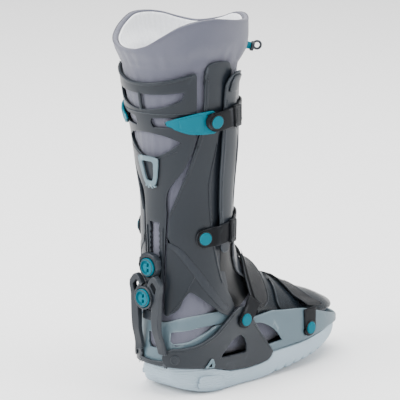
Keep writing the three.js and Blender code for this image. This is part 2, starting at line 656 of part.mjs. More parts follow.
const foldedLift = (degrees, share) => frontLift(degrees > 180 ? 360 - degrees : degrees, share);
const frontShell = plate(legPoint, LEG_UNIT, [...frontRight, ...frontFlip], {
  holes: [leaf, leafFlip], inner: -SHELL, outer: 0, lift: foldedLift, levels: [0.39, 0.535, 0.68, 0.76],
});
add('front_shell', frontShell, COLORS.shell, { roughness: 0.42 });

// Rivets: degrees or wall share, height share, underside of the cap, end of the stem
const tabTop = STACK_FIT + SHELL + STACK_FIT + TAB;
const legRivets = { calf: [77, 0.676, tabTop + FIT, -3.6], shin: [66, 0.298, TAB + 2 * FIT, -3.6] };
const wallRivets = { ankle: [0.336, 1.025, 13.4, 3.8], toe: [0.664, 0.6, SHELL + FIT + TAB + FIT, -0.4] };

// Tension levers at the calf: the tip hooks into the belt slot and the round end lies under the rivet
const leverOutline = [
  [27, 0.675], [29, 0.682], [34, 0.686], ...flow([[37, 0.69], [48, 0.699], [60, 0.707], [75, 0.712]], 1),
  [81, 0.7], [84, 0.676], [81, 0.65], ...flow([[75, 0.637], [60, 0.637], [48, 0.641], [36, 0.654]], 1),
  [33, 0.662], [29, 0.666],
];
const strapLift = (degrees, share) => foldedLift(degrees, Math.min(share, 0.7));
const shinTabLift = (degrees) => FIT + 3.8 * ease((Math.abs(degrees) - 75) / 8);
const tabs = {};
const levers = {};
for (const [name, side] of [['right', 1], ['left', -1]]) {
  const leg = (a, b, out) => legPoint(side * a, b, out);
  const wall = (a, b, out) => wallPoint(side * a, b, out);
  levers[name] = plate(leg, LEG_UNIT, leverOutline, { inner: STACK_FIT, outer: STACK_FIT + SHELL });
  tabs[`tab_calf_${name}`] = plate(leg, LEG_UNIT, strip(LEG_UNIT, legRivets.calf, TAB_RADIUS, 97, 0.008), {
    inner: tabTop - TAB, outer: tabTop,
  });
  tabs[`tab_shin_${name}`] = plate(leg, LEG_UNIT, strip(LEG_UNIT, legRivets.shin, TAB_RADIUS, 97, 0.012), {
    inner: 0, outer: TAB, lift: shinTabLift, across: 10,
  });
  tabs[`tab_ankle_${name}`] = plate(wall, WALL_UNIT, [
    ...strip(WALL_UNIT, [0, 0], 10.5, 0.075).map(([a, b]) => {
      const turn = 0.95;
      const [x, y] = [a * WALL_UNIT[0], b * WALL_UNIT[1]];
      return [
        wallRivets.ankle[0] + (x * Math.cos(turn) - y * Math.sin(turn)) / WALL_UNIT[0],
        wallRivets.ankle[1] + (x * Math.sin(turn) + y * Math.cos(turn)) / WALL_UNIT[1],
      ];
    }),
  ], { inner: 10.4, outer: 10.4 + TAB, columns: WALL_COLUMNS, levels: [] });
  tabs[`tab_toe_${name}`] = plate(wall, WALL_UNIT, [
    ...strip(WALL_UNIT, [0, 0], 9.2, 0.07).map(([a, b]) => [
      wallRivets.toe[0] - (b * WALL_UNIT[1]) / WALL_UNIT[0],
      wallRivets.toe[1] + (a * WALL_UNIT[0]) / WALL_UNIT[1],
    ]),
  ], { inner: SHELL + FIT, outer: SHELL + FIT + TAB, columns: WALL_COLUMNS, levels: [] });
}

// Rivets with their stems, and the bores that the stems pass through
const rivet = (stem) => turned([
  [0, -stem], [RIVET_STEM, -stem], [RIVET_STEM, 0], [RIVET_RADIUS, 0],
  [RIVET_RADIUS, 0.6 * RIVET_CAP], [0.86 * RIVET_RADIUS, RIVET_CAP], [0, RIVET_CAP],
]);
const bore = (stem) => disc(RIVET_STEM + FIT, -stem - 2, 1);
const bores = { calf: [], shin: [], ankle: [], toe: [] };
const rivets = [];
for (const [name, side] of [['right', 1], ['left', -1]]) {
  for (const [place, [a, b, out, end]] of Object.entries(legRivets)) {
    const where = seat((p, q, o) => legPoint(side * p, q, o), a, b, out, [side, 0.004]);
    rivets.push([`rivet_${place}_${name}`, placed(rivet(out - end), where)]);
    bores[place][name] = placed(bore(out - end), where);
  }
  for (const [place, [a, b, out, end]] of Object.entries(wallRivets)) {
    const where = seat(wallPoint, side * a, b, out, [0.004, 0.02]);
    rivets.push([`rivet_${place}_${name}`, placed(rivet(out - end), where)]);
    bores[place][name] = placed(bore(out - end), where);
  }
}
for (const name of ['right', 'left']) {
  const b = (place) => bores[place][name];
  add(`side_shell_${name}`, cut(sideShells[name], b('calf'), b('shin')), COLORS.shell, { roughness: 0.42 });
  add(`tension_lever_${name}`, cut(levers[name], b('calf')), COLORS.teal, { roughness: 0.4 });
  for (const place of ['calf', 'shin', 'ankle', 'toe']) {
    add(`tab_${place}_${name}`, cut(tabs[`tab_${place}_${name}`], b(place)), COLORS.strap, { roughness: 0.5 });
  }
}
const ankleBores = [bores.ankle.right, bores.ankle.left];
add('foot_shell', cut(footShell, heelCut(), bores.toe.right, bores.toe.left), COLORS.foot, { roughness: 0.5 });
add('ankle_frame', cut(join(...frameArms, heelBand), ...ankleBores), COLORS.frame, { roughness: 0.45 });
for (const [name, geometry] of rivets) add(name, geometry, COLORS.teal, { roughness: 0.4 });

function heelCut() {
  return plate(wallPoint, WALL_UNIT, heelHole, {
    inner: -2, outer: SHELL + 2, columns: WALL_COLUMNS, levels: [],
  });
}

// Liner: a padded sock from the rim to the toe
// share of the leg's rise at each angle from the back round the right side
const RIM = [
  [0, 0.902], [15, 0.919], [30, 0.95], [45, 0.98], [60, 0.996], [75, 1], [90, 0.993], [105, 0.984],
  [120, 0.978], [135, 0.976], [150, 0.98], [165, 0.976], [180, 0.958], [195, 0.944], [210, 0.937],
  [225, 0.947], [240, 0.964], [255, 0.972], [270, 0.97], [285, 0.948], [300, 0.926], [315, 0.912],
  [330, 0.902], [345, 0.899], [360, 0.902],
];
const rim = (degrees) => between(RIM, ((degrees % 360) + 360) % 360, 1);
const COUNT = 18;
const angles = Array.from({ length: COUNT }, (_, i) => (360 * i) / COUNT);
function linerOut(share, degrees) {
  const side = ease((40 - Math.abs(Math.abs(((degrees + 180) % 360) - 180) - 82)) / 20);
  return -(SHELL + SOFT_FIT) * (1 - ease((share - 0.835 - 0.035 * side) / 0.06));
}

// Sections that turn from level at the shin to upright at the toe
// front x, z | middle x, z | back x, z | half width
// (x of the first four back points as shares of CALF_DEPTH, other x as shares of FOOT_LENGTH,
// z as shares of PIVOT_HEIGHT, width as a share of BALL_WIDTH)
const FAN = [
  [0.161, 2.3, -0.004, 2.22, -0.645, 2.1, 0.92],
  [0.173, 2.04, 0.003, 1.83, -0.65, 1.55, 0.87],
  [0.214, 1.8, 0.031, 1.43, -0.67, 1.08, 0.82],
  [0.256, 1.66, 0.092, 1.12, -0.66, 0.72, 0.8],
  [0.336, 1.5, 0.173, 0.93, -0.122, 0.52, 0.78],
  [0.427, 1.27, 0.315, 0.75, 0.203, 0.4, 0.82],
  [0.539, 1.06, 0.468, 0.71, 0.417, 0.49, 0.85],
  [0.661, 0.89, 0.61, 0.67, 0.58, 0.53, 0.78],
  [0.747, 0.76, 0.702, 0.65, 0.676, 0.55, 0.6],
  [0.798, 0.71, 0.758, 0.64, 0.742, 0.57, 0.38],
];
// Rings between the shells' top and the rim, and level rings below it
const rimRing = (t, inset) => angles.map((a) => {
  const share = 0.84 + (rim(a) - 0.84) * t;
  return legPoint(a, share, linerOut(share, a) - inset);
});
const levelRing = (share, inset) => angles.map((a) => legPoint(a, share, linerOut(share, a) - inset));

function linerRings(inset, above) {
  const rings = above ? [angles.map((a) => legPoint(a, rim(a) + above, -inset))] : [];
  rings.push(...[1, 0.66, 0.33].map((t) => rimRing(t, inset)));
  rings.push(...[0.835, 0.75, 0.66, 0.56, 0.46, 0.35].map((share) => levelRing(share, inset)));
  FAN.forEach(([fx, fz, mx, mz, bx, bz, w], i) => {
    const middle = new THREE.Vector3(mx * FOOT_LENGTH, 0, level(mz));
    const front = new THREE.Vector3(fx * FOOT_LENGTH, 0, level(fz));
    const back = new THREE.Vector3(i < 4 ? bx * CALF_DEPTH : bx * FOOT_LENGTH, 0, level(bz));
    const scale = (v) => Math.max(v.length() - inset, 2) / v.length();
    const toFront = front.sub(middle);
    const toBack = back.sub(middle);
    toFront.multiplyScalar(scale(toFront));
    toBack.multiplyScalar(scale(toBack));
    rings.push(angles.map((a) => {
      const c = Math.cos(radians(a));
      const p = middle.clone().addScaledVector(c > 0 ? toBack : toFront, Math.abs(c));
      p.y = -(w * footWidth(middle.z) - inset) * Math.sin(radians(a));
      return p;
    }));
  });
  const tip = rings[rings.length - 1];
  if (inset) {
    rings.pop();
  } else {
    const middle = tip.reduce((s, q) => s.add(q), new THREE.Vector3()).divideScalar(COUNT);
    const nose = new THREE.Vector3(0.012 * FOOT_LENGTH, 0, 0.02 * PIVOT_HEIGHT);
    rings.push(tip.map((q) => q.clone().sub(middle).multiplyScalar(0.7).add(middle).add(nose)));
  }
  return rings;
}
const liner = cut(loft(linerRings(0, 0)), loft(linerRings(LINER_WALL, 0.03)));
add('liner', liner, COLORS.fabric, { roughness: 0.9 });

// Lining: white terry inside the upper leg, open at both ends
const mixed = (first, second, t) => first.map((q, i) => q.clone().lerp(second[i], t));
const liningRings = (inset, top, bottom) => [
  mixed(rimRing(0.66, inset), rimRing(1, inset), top), rimRing(0.66, inset), rimRing(0.33, inset),
  levelRing(0.835, inset), levelRing(0.75, inset), levelRing(0.66, inset),
  mixed(levelRing(0.66, inset), levelRing(0.56, inset), bottom),
];
const lining = cut(
  loft(liningRings(LINER_WALL + STACK_FIT, 0.6, 0.6)),
  loft(liningRings(LINER_WALL + STACK_FIT + LINING, 0.9, 0.9)),
);
add('lining', lining, COLORS.terry, { roughness: 0.95 });

// Straps round the front of the leg, with a folded and stitched end at each tab
function legStrap(centre, slope, width, droop) {
  const half = width / 2 / LEG_RISE;
  const start = 98.5;
  const course = [start, 112, 128, 145, 162, 180];
  const middle = (a) => centre + slope + droop * ease((Math.min(a, 360 - a) - start) / 60);
  const all = [...course, ...course.slice(0, -1).reverse().map((a) => 360 - a)];
  const outline = [...all.map((a) => [a, middle(a) - half]), ...all.slice().reverse().map((a) => [a, middle(a) + half])];
  const band = plate(legPoint, LEG_UNIT, outline, {
    inner: 1.4 * STACK_FIT, outer: 1.4 * STACK_FIT + STRAP, lift: strapLift,
  });
  const folds = [1, -1].map((side) => {
    const c = middle(start);
    const turn = (points) => (side > 0 ? points : points.map(([a, b]) => [360 - a, b]));
    const fold = turn([[start, c - half], [start + 11, c - half * 0.98], [start + 11, c + half * 0.98], [start, c + half]]);
    return plate(legPoint, LEG_UNIT, fold, {
      inner: 1.4 * STACK_FIT + 0.5 * STRAP, outer: 1.4 * STACK_FIT + 2.2 * STRAP, lift: strapLift,
    });
  });
  return join(band, ...folds);
}
add('strap_calf', legStrap(legRivets.calf[1], 0.008, CALF_STRAP_WIDTH, 0), COLORS.strap, { roughness: 0.8 });
add('strap_shin', legStrap(legRivets.shin[1], 0.012, SHIN_STRAP_WIDTH, 0.012), COLORS.strap, { roughness: 0.8 });

// Instep guard, instep strap and forefoot cover on the top of the foot
const bothSides = (points) => [...points, ...mirror(points).reverse()];
const guardOutline = bothSides([...flow([[0, 0.125], [30, 0.12], [47, 0.125], [55, 0.15]], 1), ...flow([[60, 0.2], [56, 0.3], [42, 0.42], [20, 0.46], [0, 0.465]], 1)].slice(1, -1));
const guardSlit = flow([[22, 0.155], [30, 0.18], [24, 0.26], [30, 0.34], [24, 0.37], [17, 0.3], [20, 0.22], [16, 0.18], [22, 0.155]], 1).slice(0, -1);
add('instep_guard', plate(topPoint, TOP_UNIT, guardOutline, {
  holes: [guardSlit, mirror(guardSlit)], inner: GUARD_SEAT, outer: GUARD_SEAT + SHELL, columns: TOP_COLUMNS, levels: TOP_LEVELS,
}), COLORS.pad, { roughness: 0.5 });
const strapFit = 1.8 * STACK_FIT;
const instepStrap = bothSides([
  ...flow([[0, 0.225], [25, 0.24], [48, 0.29], [64, 0.34], [74, 0.37]], 1),
  ...flow([[78, 0.43], [66, 0.445], [50, 0.42], [25, 0.38], [0, 0.36]], 1),
].slice(1, -1));
add('strap_instep', plate(topPoint, TOP_UNIT, instepStrap, {
  inner: GUARD_SEAT + SHELL + strapFit, outer: GUARD_SEAT + SHELL + strapFit + STRAP, columns: TOP_COLUMNS, levels: TOP_LEVELS,
}), COLORS.strap, { roughness: 0.8 });
const coverOutline = bothSides([
  ...flow([[0, 0.49], [30, 0.49], [60, 0.5], [74, 0.53]], 1),
  ...flow([[76, 0.62], [74, 0.74], [66, 0.86], [40, 0.93], [0, 0.95]], 1),
].slice(1, -1));
add('forefoot_cover', plate(topPoint, TOP_UNIT, coverOutline, {
  inner: COVER_SEAT, outer: COVER_SEAT + SHELL, columns: TOP_COLUMNS, levels: TOP_LEVELS,
}), COLORS.cover, { roughness: 0.35 });
const toeStrap = bothSides([
  ...flow([[0, 0.525], [30, 0.55], [54, 0.6], [64, 0.635]], 1),
  ...flow([[64, 0.725], [54, 0.71], [30, 0.65], [0, 0.62]], 1),
].slice(1, -1));
add('strap_toe', plate(topPoint, TOP_UNIT, toeStrap, {
  inner: COVER_SEAT + SHELL + STACK_FIT, outer: COVER_SEAT + SHELL + STACK_FIT + STRAP, lift: (a) => 5 * ease((Math.abs(a) - 46) / 16),
  columns: TOP_COLUMNS, levels: TOP_LEVELS,
}), COLORS.strap, { roughness: 0.8 });

// Heel adjuster: an upper slide and a yoke on the rack, each with a turning knob, and pins at the frame's ends
const rackFace = (share) => -legPoint(0, share, -0.2 + spineLift(0, share)).x;
const upperKnobShare = 0.204;
const lowerKnobShare = 0.109;
const housingBack = rackFace(0.15) + STACK_FIT;
const knobSeat = 2.4;
const slideFront = HOUSING_DEPTH;
const backView = (depth) => (a, b, out) => new THREE.Vector3(-(depth(b) + out), -a, b);
const flatBack = backView(() => housingBack);
const upperZ = up(upperKnobShare);
const lowerZ = up(lowerKnobShare);
const knobBore = (z, face) => disc(KNOB_RADIUS + KNOB_CLEARANCE, -knobSeat, 8, 24)
  .applyMatrix4(seat(flatBack, 0, z, face, [1, 1]));
const slideOutline = [
  [-3, upperZ - 16.5], [3, upperZ - 16.5], [11, upperZ - 8], [14.4, upperZ], [13.5, upperZ + 9],
  ...flow([[9, upperZ + 14.5], [0, upperZ + 16], [-9, upperZ + 14.5]], 1),
  [-13.5, upperZ + 9], [-14.4, upperZ], [-11, upperZ - 8],
];
const slide = plate(flatBack, [1, 1], slideOutline, { inner: 0, outer: slideFront, columns: [], levels: [] });
const tongue = (z, top) => plate(flatBack, [1, 1], [
  [-TONGUE_HALF, z - 10], [TONGUE_HALF, z - 10], [TONGUE_HALF, z + 10], [-TONGUE_HALF, z + 10],
], { inner: -TONGUE_DEPTH, outer: top, columns: [], levels: [] });
add('slider_upper', cut(join(slide, tongue(upperZ, 1)), knobBore(upperZ, slideFront)), COLORS.shell, { roughness: 0.42 });

const yokeStep = rackFace(0.035) + STACK_FIT - housingBack;
const yokeDepth = (z) => housingBack + yokeStep - 6 * ease((lowerZ - 34 - z) / 30);
const armEnd = 0.76 * PIVOT_HEIGHT;
const yokeRight = [
  [3.5, lowerZ + 14.5], [8, lowerZ + 22], [13.5, lowerZ + 26.5], [18, lowerZ + 24], [23.2, lowerZ + 17], [23.4, lowerZ + 11],
  ...flow([[21.5, lowerZ + 2], [21, lowerZ - 18], [20.5, lowerZ - 40], [22.5, armEnd + 6], [23.2, armEnd]], 1),
  [13.5, armEnd], ...flow([[12.6, armEnd + 8], [11.6, lowerZ - 30], [12.4, lowerZ - 12]], 1), [11.5, lowerZ - 9],
];
const bossBottom = flow([[8, lowerZ - 12], [0, lowerZ - 15], [-8, lowerZ - 12]], 1);
const eyelet = [[8.5, lowerZ + 15], [12.5, lowerZ + 19.5], [18, lowerZ + 13], [14.8, lowerZ + 3.5]];
const yokeOutline = [...yokeRight, ...bossBottom, ...mirror(yokeRight).reverse()];
const armThin = (z) => 1 - 0.3 * ease((lowerZ - 20 - z) / 40);
const yokeSurface = (a, b, out) => new THREE.Vector3(-(yokeDepth(b) + out * armThin(b)), -a, b);
const yokeBody = plate(yokeSurface, [1, 1], yokeOutline, {
  holes: [eyelet, mirror(eyelet)], inner: 0, outer: YOKE_DEPTH - 2.6, columns: [], levels: [75, 86, 97],
});
const bossOutline = Array.from({ length: 12 }, (_, i) => {
  const a = (Math.PI * (i + 0.5)) / 6;
  return [(KNOB_RADIUS + 3) * Math.cos(a), lowerZ + (KNOB_RADIUS + 3) * Math.sin(a)];
});
const boss = plate(flatBack, [1, 1], bossOutline, {
  inner: yokeStep + 0.2, outer: yokeStep + YOKE_DEPTH, columns: [], levels: [],
});
const yokeFace = yokeStep + YOKE_DEPTH;
add('yoke', cut(join(yokeBody, boss, tongue(lowerZ, yokeStep + 1)), knobBore(lowerZ, yokeFace)), COLORS.frame, { roughness: 0.42 });

const knobSlots = [-1, 1].map((s) => new THREE.BoxGeometry(KNOB_SLOT, 0.36 * KNOB_RADIUS, 3).translate(3.4, s * 0.36 * KNOB_RADIUS, KNOB_HEIGHT));
const knobGrip = new THREE.BoxGeometry(0.7 * KNOB_SLOT, 1.1 * KNOB_RADIUS, 2).translate(-3.6, 0, KNOB_HEIGHT);
const knob = cut(turned([[0, 0], [KNOB_RADIUS, 0], [KNOB_RADIUS, KNOB_HEIGHT - 1], [KNOB_RADIUS - 1, KNOB_HEIGHT], [0, KNOB_HEIGHT]], 24), ...knobSlots, knobGrip);
for (const [name, z, face] of [['knob_upper', upperZ, slideFront], ['knob_lower', lowerZ, yokeFace]]) {
  add(name, placed(knob, seat(flatBack, 0, z, face - knobSeat + FIT, [1, 1])), COLORS.teal, { roughness: 0.4 });
}

// Pin discs at the rear ends of the frame
for (const [name, side] of [['right', 1], ['left', -1]]) {
  const where = seat(wallPoint, side * 0.078, 0.585, SHELL + STACK_FIT + FRAME_WALL + FIT, [0.004, 0.02]);
  add(`pivot_pin_${name}`, placed(turned([[0, 0], [PIN_RADIUS, 0], [PIN_RADIUS, 1.2], [0, 1.2]]), where), COLORS.frame, { roughness: 0.4 });
}

// Adjuster key: a pale ring with two small feet on the spine
const keyOuter = flow([[0, 0.561], [-11.5, 0.558], [-14, 0.548], [-11, 0.5], [-8, 0.474], [-6, 0.467]], 1);
const keyShape = [
  ...keyOuter, [-8, 0.462], [-6.5, 0.459], [-3, 0.466], [-4, 0.457], [-2.4, 0.455], [0, 0.464],
  [2.4, 0.455], [4, 0.457], [3, 0.466], [6.5, 0.459], [8, 0.462], ...mirror(keyOuter).reverse().slice(0, -1),
];
const keyHole = [[-8.4, 0.545], [8.4, 0.545], [6.5, 0.5], [4.2, 0.48], [-4.2, 0.48], [-6.5, 0.5]];
add('adjuster_key', plate(legPoint, LEG_UNIT, keyShape, {
  holes: [keyHole], inner: STACK_FIT, outer: STACK_FIT + KEY_WALL, across: 8,
}), COLORS.key, { roughness: 0.5 });

// Air valve on the front of the liner with its looped cap
const valveSeat = seat(legPoint, 142, 0.885, FIT, [1, 0.004]);
add('valve_stem', placed(turned([[0, 0], [VALVE_RADIUS, 0], [VALVE_RADIUS, VALVE_LENGTH], [0, VALVE_LENGTH]]), valveSeat), COLORS.teal, { roughness: 0.4 });
const capTop = VALVE_LENGTH + FIT + 3.4;
const capLoop = new THREE.TorusGeometry(LOOP_RADIUS, LOOP_WIRE, 5, 10).rotateX(Math.PI / 2).rotateZ(Math.PI / 2);
const capBody = disc(VALVE_RADIUS + 0.6, VALVE_LENGTH + FIT, capTop);
add('valve_cap', placed(join(capBody, capLoop.translate(0, 2.6, capTop + LOOP_RADIUS - 1)), valveSeat), COLORS.key, { roughness: 0.5 });

// Small triangular latches that hook the frame to the sole
for (const [name, side] of [['right', 1], ['left', -1]]) {
  const surface = (a, b, out) => wallPoint(side * a, b, out);
  add(`sole_latch_${name}`, plate(surface, WALL_UNIT, [[0.166, 0.42], [0.202, 0.4], [0.208, 0.45], [0.2, 0.56]], {
    inner: SHELL + STACK_FIT + FRAME_WALL + FIT, outer: SHELL + STACK_FIT + FRAME_WALL + FIT + 1.8, columns: WALL_COLUMNS, levels: [],
  }), COLORS.key, { roughness: 0.5 });
}

// The floor is Z = 0 and the origin is under the middle of the boot.
const box = new THREE.Box3().setFromObject(boot);
boot.position.set(-(box.min.x + box.max.x) / 2, -(box.min.y + box.max.y) / 2, -box.min.z);
boot.updateMatrixWorld(true);

export default boot;
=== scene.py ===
import math

import bmesh
import bpy
import numpy as np
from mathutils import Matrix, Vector


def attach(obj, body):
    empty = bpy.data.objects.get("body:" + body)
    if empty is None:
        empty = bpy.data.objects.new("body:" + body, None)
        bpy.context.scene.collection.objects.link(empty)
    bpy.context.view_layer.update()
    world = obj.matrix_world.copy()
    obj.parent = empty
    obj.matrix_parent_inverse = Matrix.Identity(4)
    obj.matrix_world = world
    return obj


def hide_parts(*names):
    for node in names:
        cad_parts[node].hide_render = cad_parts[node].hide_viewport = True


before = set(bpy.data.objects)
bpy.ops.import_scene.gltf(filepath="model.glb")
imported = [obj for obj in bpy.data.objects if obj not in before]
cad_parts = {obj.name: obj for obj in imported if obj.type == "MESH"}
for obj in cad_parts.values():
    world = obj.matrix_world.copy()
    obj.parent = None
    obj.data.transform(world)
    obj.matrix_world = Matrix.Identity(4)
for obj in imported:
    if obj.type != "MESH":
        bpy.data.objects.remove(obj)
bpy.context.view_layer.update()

# Where the leg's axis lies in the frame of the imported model
SHIFT = np.array([-77.4776, 0.2759, 0.0])

# Sizes of the frame that the pieces are fitted to
PIVOT_HEIGHT = 78.0
LEG_RISE = 358.0
CALF_DEPTH = 80.0
CALF_WIDTH = 76.0
FOOT_LENGTH = 296.0
BALL_WIDTH = 52.0
HEEL_BACK = 0.69 * CALF_DEPTH
SHELL = 3.0
LINER_WALL = 6.0
LINING = 2.0
FIT = 0.4
STACK_FIT = 0.9
SOFT_FIT = 1.6
GUARD_SEAT = 0.3
COVER_SEAT = 1.3
FRAME_WALL = 3.4
STRAP = 2.2
TAB = 2.6
TAB_RADIUS = 11.5
RIVET_RADIUS = 7.2
RIVET_CAP = 2.2
KNOB_RADIUS = 10.4
KNOB_HEIGHT = 4.0
KNOB_CLEARANCE = 0.5
HOUSING_DEPTH = 9.0
YOKE_DEPTH = 10.0
RACK_PITCH = 6.4
RACK_TOOTH = 2.2
RACK_HALF_GAP = 8.4
PIN_RADIUS = 5.2
CALF_STRAP_WIDTH = 25.0
SHIN_STRAP_WIDTH = 26.0
KEY_WALL = 3.0
VALVE_RADIUS = 5.0
VALVE_LENGTH = 6.0
LOOP_RADIUS = 4.3
LOOP_WIRE = 1.4
TREAD_DEPTH = 2.4
TREAD_PITCH = 15.0

# How pieces are made: millimetres on the flat, turns in radians, the merge distance in metres
FLOW_STEPS = 5
SHORTEST_EDGE = 0.05
NEARLY_STRAIGHT = 0.2
CORNER_SHARE = 0.42
CORNER_TURN = 0.3
CUT_MARGIN = 0.2
CUT_ASIDE = 0.013
GRID_MERGE = 0.22
FACE_LEVEL = 0.7
BEVEL_SEGMENTS = 3
MERGE = 0.00001
PLASTIC_GRAIN = 0.00012

# Millimetres on the flat for one step of each coordinate
LEG_UNIT = (1.05, LEG_RISE)
WALL_UNIT = (1.155 * FOOT_LENGTH, PIVOT_HEIGHT)
TOP_UNIT = (0.85, 1.1 * FOOT_LENGTH)
FLAT_UNIT = (1.0, 1.0)


def ease(value):
    t = np.clip(value, 0, 1)
    return t * t * (3 - 2 * t)


def up(share):
    return PIVOT_HEIGHT + share * LEG_RISE


def curve(start, end, leave, arrive, t):
    """The place at t on a cubic that leaves its start and reaches its end with two given slopes"""
    bend = 3 * end - 3 * start - 2 * leave - arrive
    return start + leave * t + bend * t ** 2 + (2 * start - 2 * end + leave + arrive) * t ** 3


def length_along(line):
    return np.concatenate([[0], np.cumsum(np.linalg.norm(np.diff(line, axis=0), axis=1))])


def between(rows, at, column):
    """A smooth value between the rows of a table, whose first column rises."""
    table = np.asarray(rows, float)
    at = np.asarray(at, float)
    x = table[:, 0]
    y = table[:, column]
    last = len(x) - 1
    i = np.searchsorted(x[1:last], at, side="left")
    before = np.maximum(i - 1, 0)
    after = np.minimum(i + 2, last)
    span = x[i + 1] - x[i]
    t = np.clip((at - x[i]) / span, 0, 1)
    m = (y[i + 1] - y[before]) / (x[i + 1] - x[before]) * span
    n = (y[after] - y[i]) / (x[after] - x[i]) * span
    t2 = t * t
    t3 = t2 * t
    ends = (2 * t3 - 3 * t2 + 1) * y[i] + (t3 - 2 * t2 + t) * m
    return ends + (3 * t2 - 2 * t3) * y[i + 1] + (t3 - t2) * n


# Outside of the hard shells round the leg
# share of the leg's rise | centre, back depth, front depth | half width
# (centre and depths as shares of CALF_DEPTH, width as a share of CALF_WIDTH)
LEG = [
    [-0.218, 0, 0.825, 1.56, 0.59],
    [-0.075, 0, 0.81, 1.47, 0.63],
    [0.008, 0, 0.765, 1.3, 0.678],
    [0.092, -0.012, 0.715, 1.06, 0.676],
    [0.176, -0.018, 0.676, 0.8, 0.664],
    [0.243, -0.022, 0.67, 0.7, 0.67],
    [0.288, -0.025, 0.669, 0.669, 0.678],
    [0.427, -0.02, 0.688, 0.688, 0.698],
    [0.567, -0.05, 0.762, 0.762, 0.77],
    [0.634, -0.076, 0.782, 0.782, 0.796],
    [0.676, -0.112, 0.806, 0.806, 0.816],
    [0.746, -0.154, 0.832, 0.832, 0.849],
    [0.83, -0.166, 0.875, 0.875, 0.895],
    [0.872, -0.152, 0.906, 0.906, 0.928],
    [0.913, -0.162, 0.962, 0.962, 0.974],
    [0.955, -0.182, 0.987, 0.987, 0.987],
    [1, -0.188, 1, 1, 1],
]


def leg_point(degrees, share, out=0.0):
    """A point round the leg: degrees run from the back over the right side to the front at 180."""
    degrees, share, out = np.broadcast_arrays(degrees, share, out)
    a = np.radians(degrees)
    c = np.cos(a)
    depth = CALF_DEPTH * np.where(c > 0, between(LEG, share, 2), between(LEG, share, 3)) + out
    width = CALF_WIDTH * between(LEG, share, 4) + out
    centre = CALF_DEPTH * between(LEG, share, 1)
    return np.stack([centre - depth * c, -width * np.sin(a), up(share)], axis=-1)


# Plan of the foot shell's outside, from the middle of the heel along the right side to the toe
# distance from the heel as a share of FOOT_LENGTH | half width as a share of BALL_WIDTH
PLAN = [
    [0, 0], [0.01, 0.346], [0.037, 0.558], [0.1, 0.731], [0.2, 0.827], [0.332, 0.865], [0.482, 0.942],
    [0.631, 1], [0.748, 0.981], [0.847, 0.865], [0.914, 0.692], [0.963, 0.462], [0.99, 0.231], [1, 0],
]
PLAN_ROWS = [[x * FOOT_LENGTH - HEEL_BACK, w * BALL_WIDTH] for x, w in PLAN]


def plan_course():
    """Even steps round the foot's plan: places and unit directions at equal shares of its length."""
    points = np.array([[x, -w] for x, w in PLAN_ROWS] + PLAN_ROWS[-2:0:-1])
    pieces = []
    for i in range(len(points)):
        a, b, c, d = (points[(i + k) % len(points)] for k in (-1, 0, 1, 2))
        u, v, w = (math.sqrt(np.linalg.norm(q - p)) for p, q in ((a, b), (b, c), (c, d)))
        m = ((b - a) / u - (c - a) / (u + v) + (c - b) / v) * v
        n = ((c - b) / v - (d - b) / (v + w) + (d - c) / w) * v
        t = np.arange(0, 1, 0.005)[:, None]
        pieces.append(curve(b, c, m, n, t))
    path = np.vstack(pieces + [points[:1]])
    length = length_along(path)
    even = np.linspace(0, length[-1], 4001)
    course = np.stack([np.interp(even, length, path[:, k]) for k in (0, 1)], axis=1)
    direction = np.roll(course[:-1], -2, axis=0) - np.roll(course[:-1], 2, axis=0)
    direction /= np.linalg.norm(direction, axis=1)[:, None]
    return course, np.vstack([direction, direction[:1]])


COURSE, DIRECTION = plan_course()


def wall_point(share, height, out=0.0):
    """A point on the foot's wall: 0 is the middle of the heel, 1 the toe, and the left side is negative."""
    share, height, out = np.broadcast_arrays(share, height, out)
    t = (np.asarray(share, float) / 2 + 1) % 1
    at = np.linspace(0, 1, len(COURSE))
    x, y = (np.interp(t, at, COURSE[:, k]) for k in (0, 1))
    along_x, along_y = (np.interp(t, at, DIRECTION[:, k]) for k in (0, 1))
    return np.stack([x + along_y * out, y - along_x * out, height * PIVOT_HEIGHT], axis=-1)


def left_wall_point(share, height, out=0.0):
    return wall_point(-share, height, out)


def half_width(x):
    return between(PLAN_ROWS, np.clip(x, PLAN_ROWS[0][0], PLAN_ROWS[-1][0]), 1)


# Instep and top of the foot, from the shin to the toe
# share of the way | top x, top z | middle x, middle z | half width
# (x as shares of FOOT_LENGTH, z as shares of PIVOT_HEIGHT, width as a share of BALL_WIDTH)
TOP = [
    [0, 0.163, 2.56, -0.007, 2.5, 0.94],
    [0.1, 0.165, 2.32, 0, 2.22, 0.925],
    [0.2, 0.185, 2.06, 0.01, 1.83, 0.9],
    [0.3, 0.23, 1.82, 0.041, 1.42, 0.86],
    [0.4, 0.315, 1.6, 0.173, 1.02, 0.85],
    [0.52, 0.427, 1.31, 0.33, 0.8, 0.85],
    [0.64, 0.539, 1.09, 0.473, 0.7, 0.88],
    [0.77, 0.661, 0.93, 0.615, 0.65, 0.81],
    [0.89, 0.747, 0.78, 0.702, 0.6, 0.63],
    [1, 0.798, 0.68, 0.758, 0.56, 0.4],
]


def top_point(degrees, share, out=0.0):
    """A point on the top of the foot: 0 degrees is the middle line and 90 the right side."""
    degrees, share, out = np.broadcast_arrays(degrees, share, out)
    a = np.radians(degrees)
    top = np.stack([FOOT_LENGTH * between(TOP, share, 1), PIVOT_HEIGHT * between(TOP, share, 2)])
    middle = np.stack([FOOT_LENGTH * between(TOP, share, 3), PIVOT_HEIGHT * between(TOP, share, 4)])
    reach = np.hypot(*(top - middle))
    run = (top - middle) / reach
    width = BALL_WIDTH * between(TOP, share, 5) + out
    x = middle[0] + run[0] * (reach + out) * np.cos(a)
    z = middle[1] + run[1] * (reach + out) * np.cos(a)
    return np.stack([x, -width * np.sin(a), z], axis=-1)


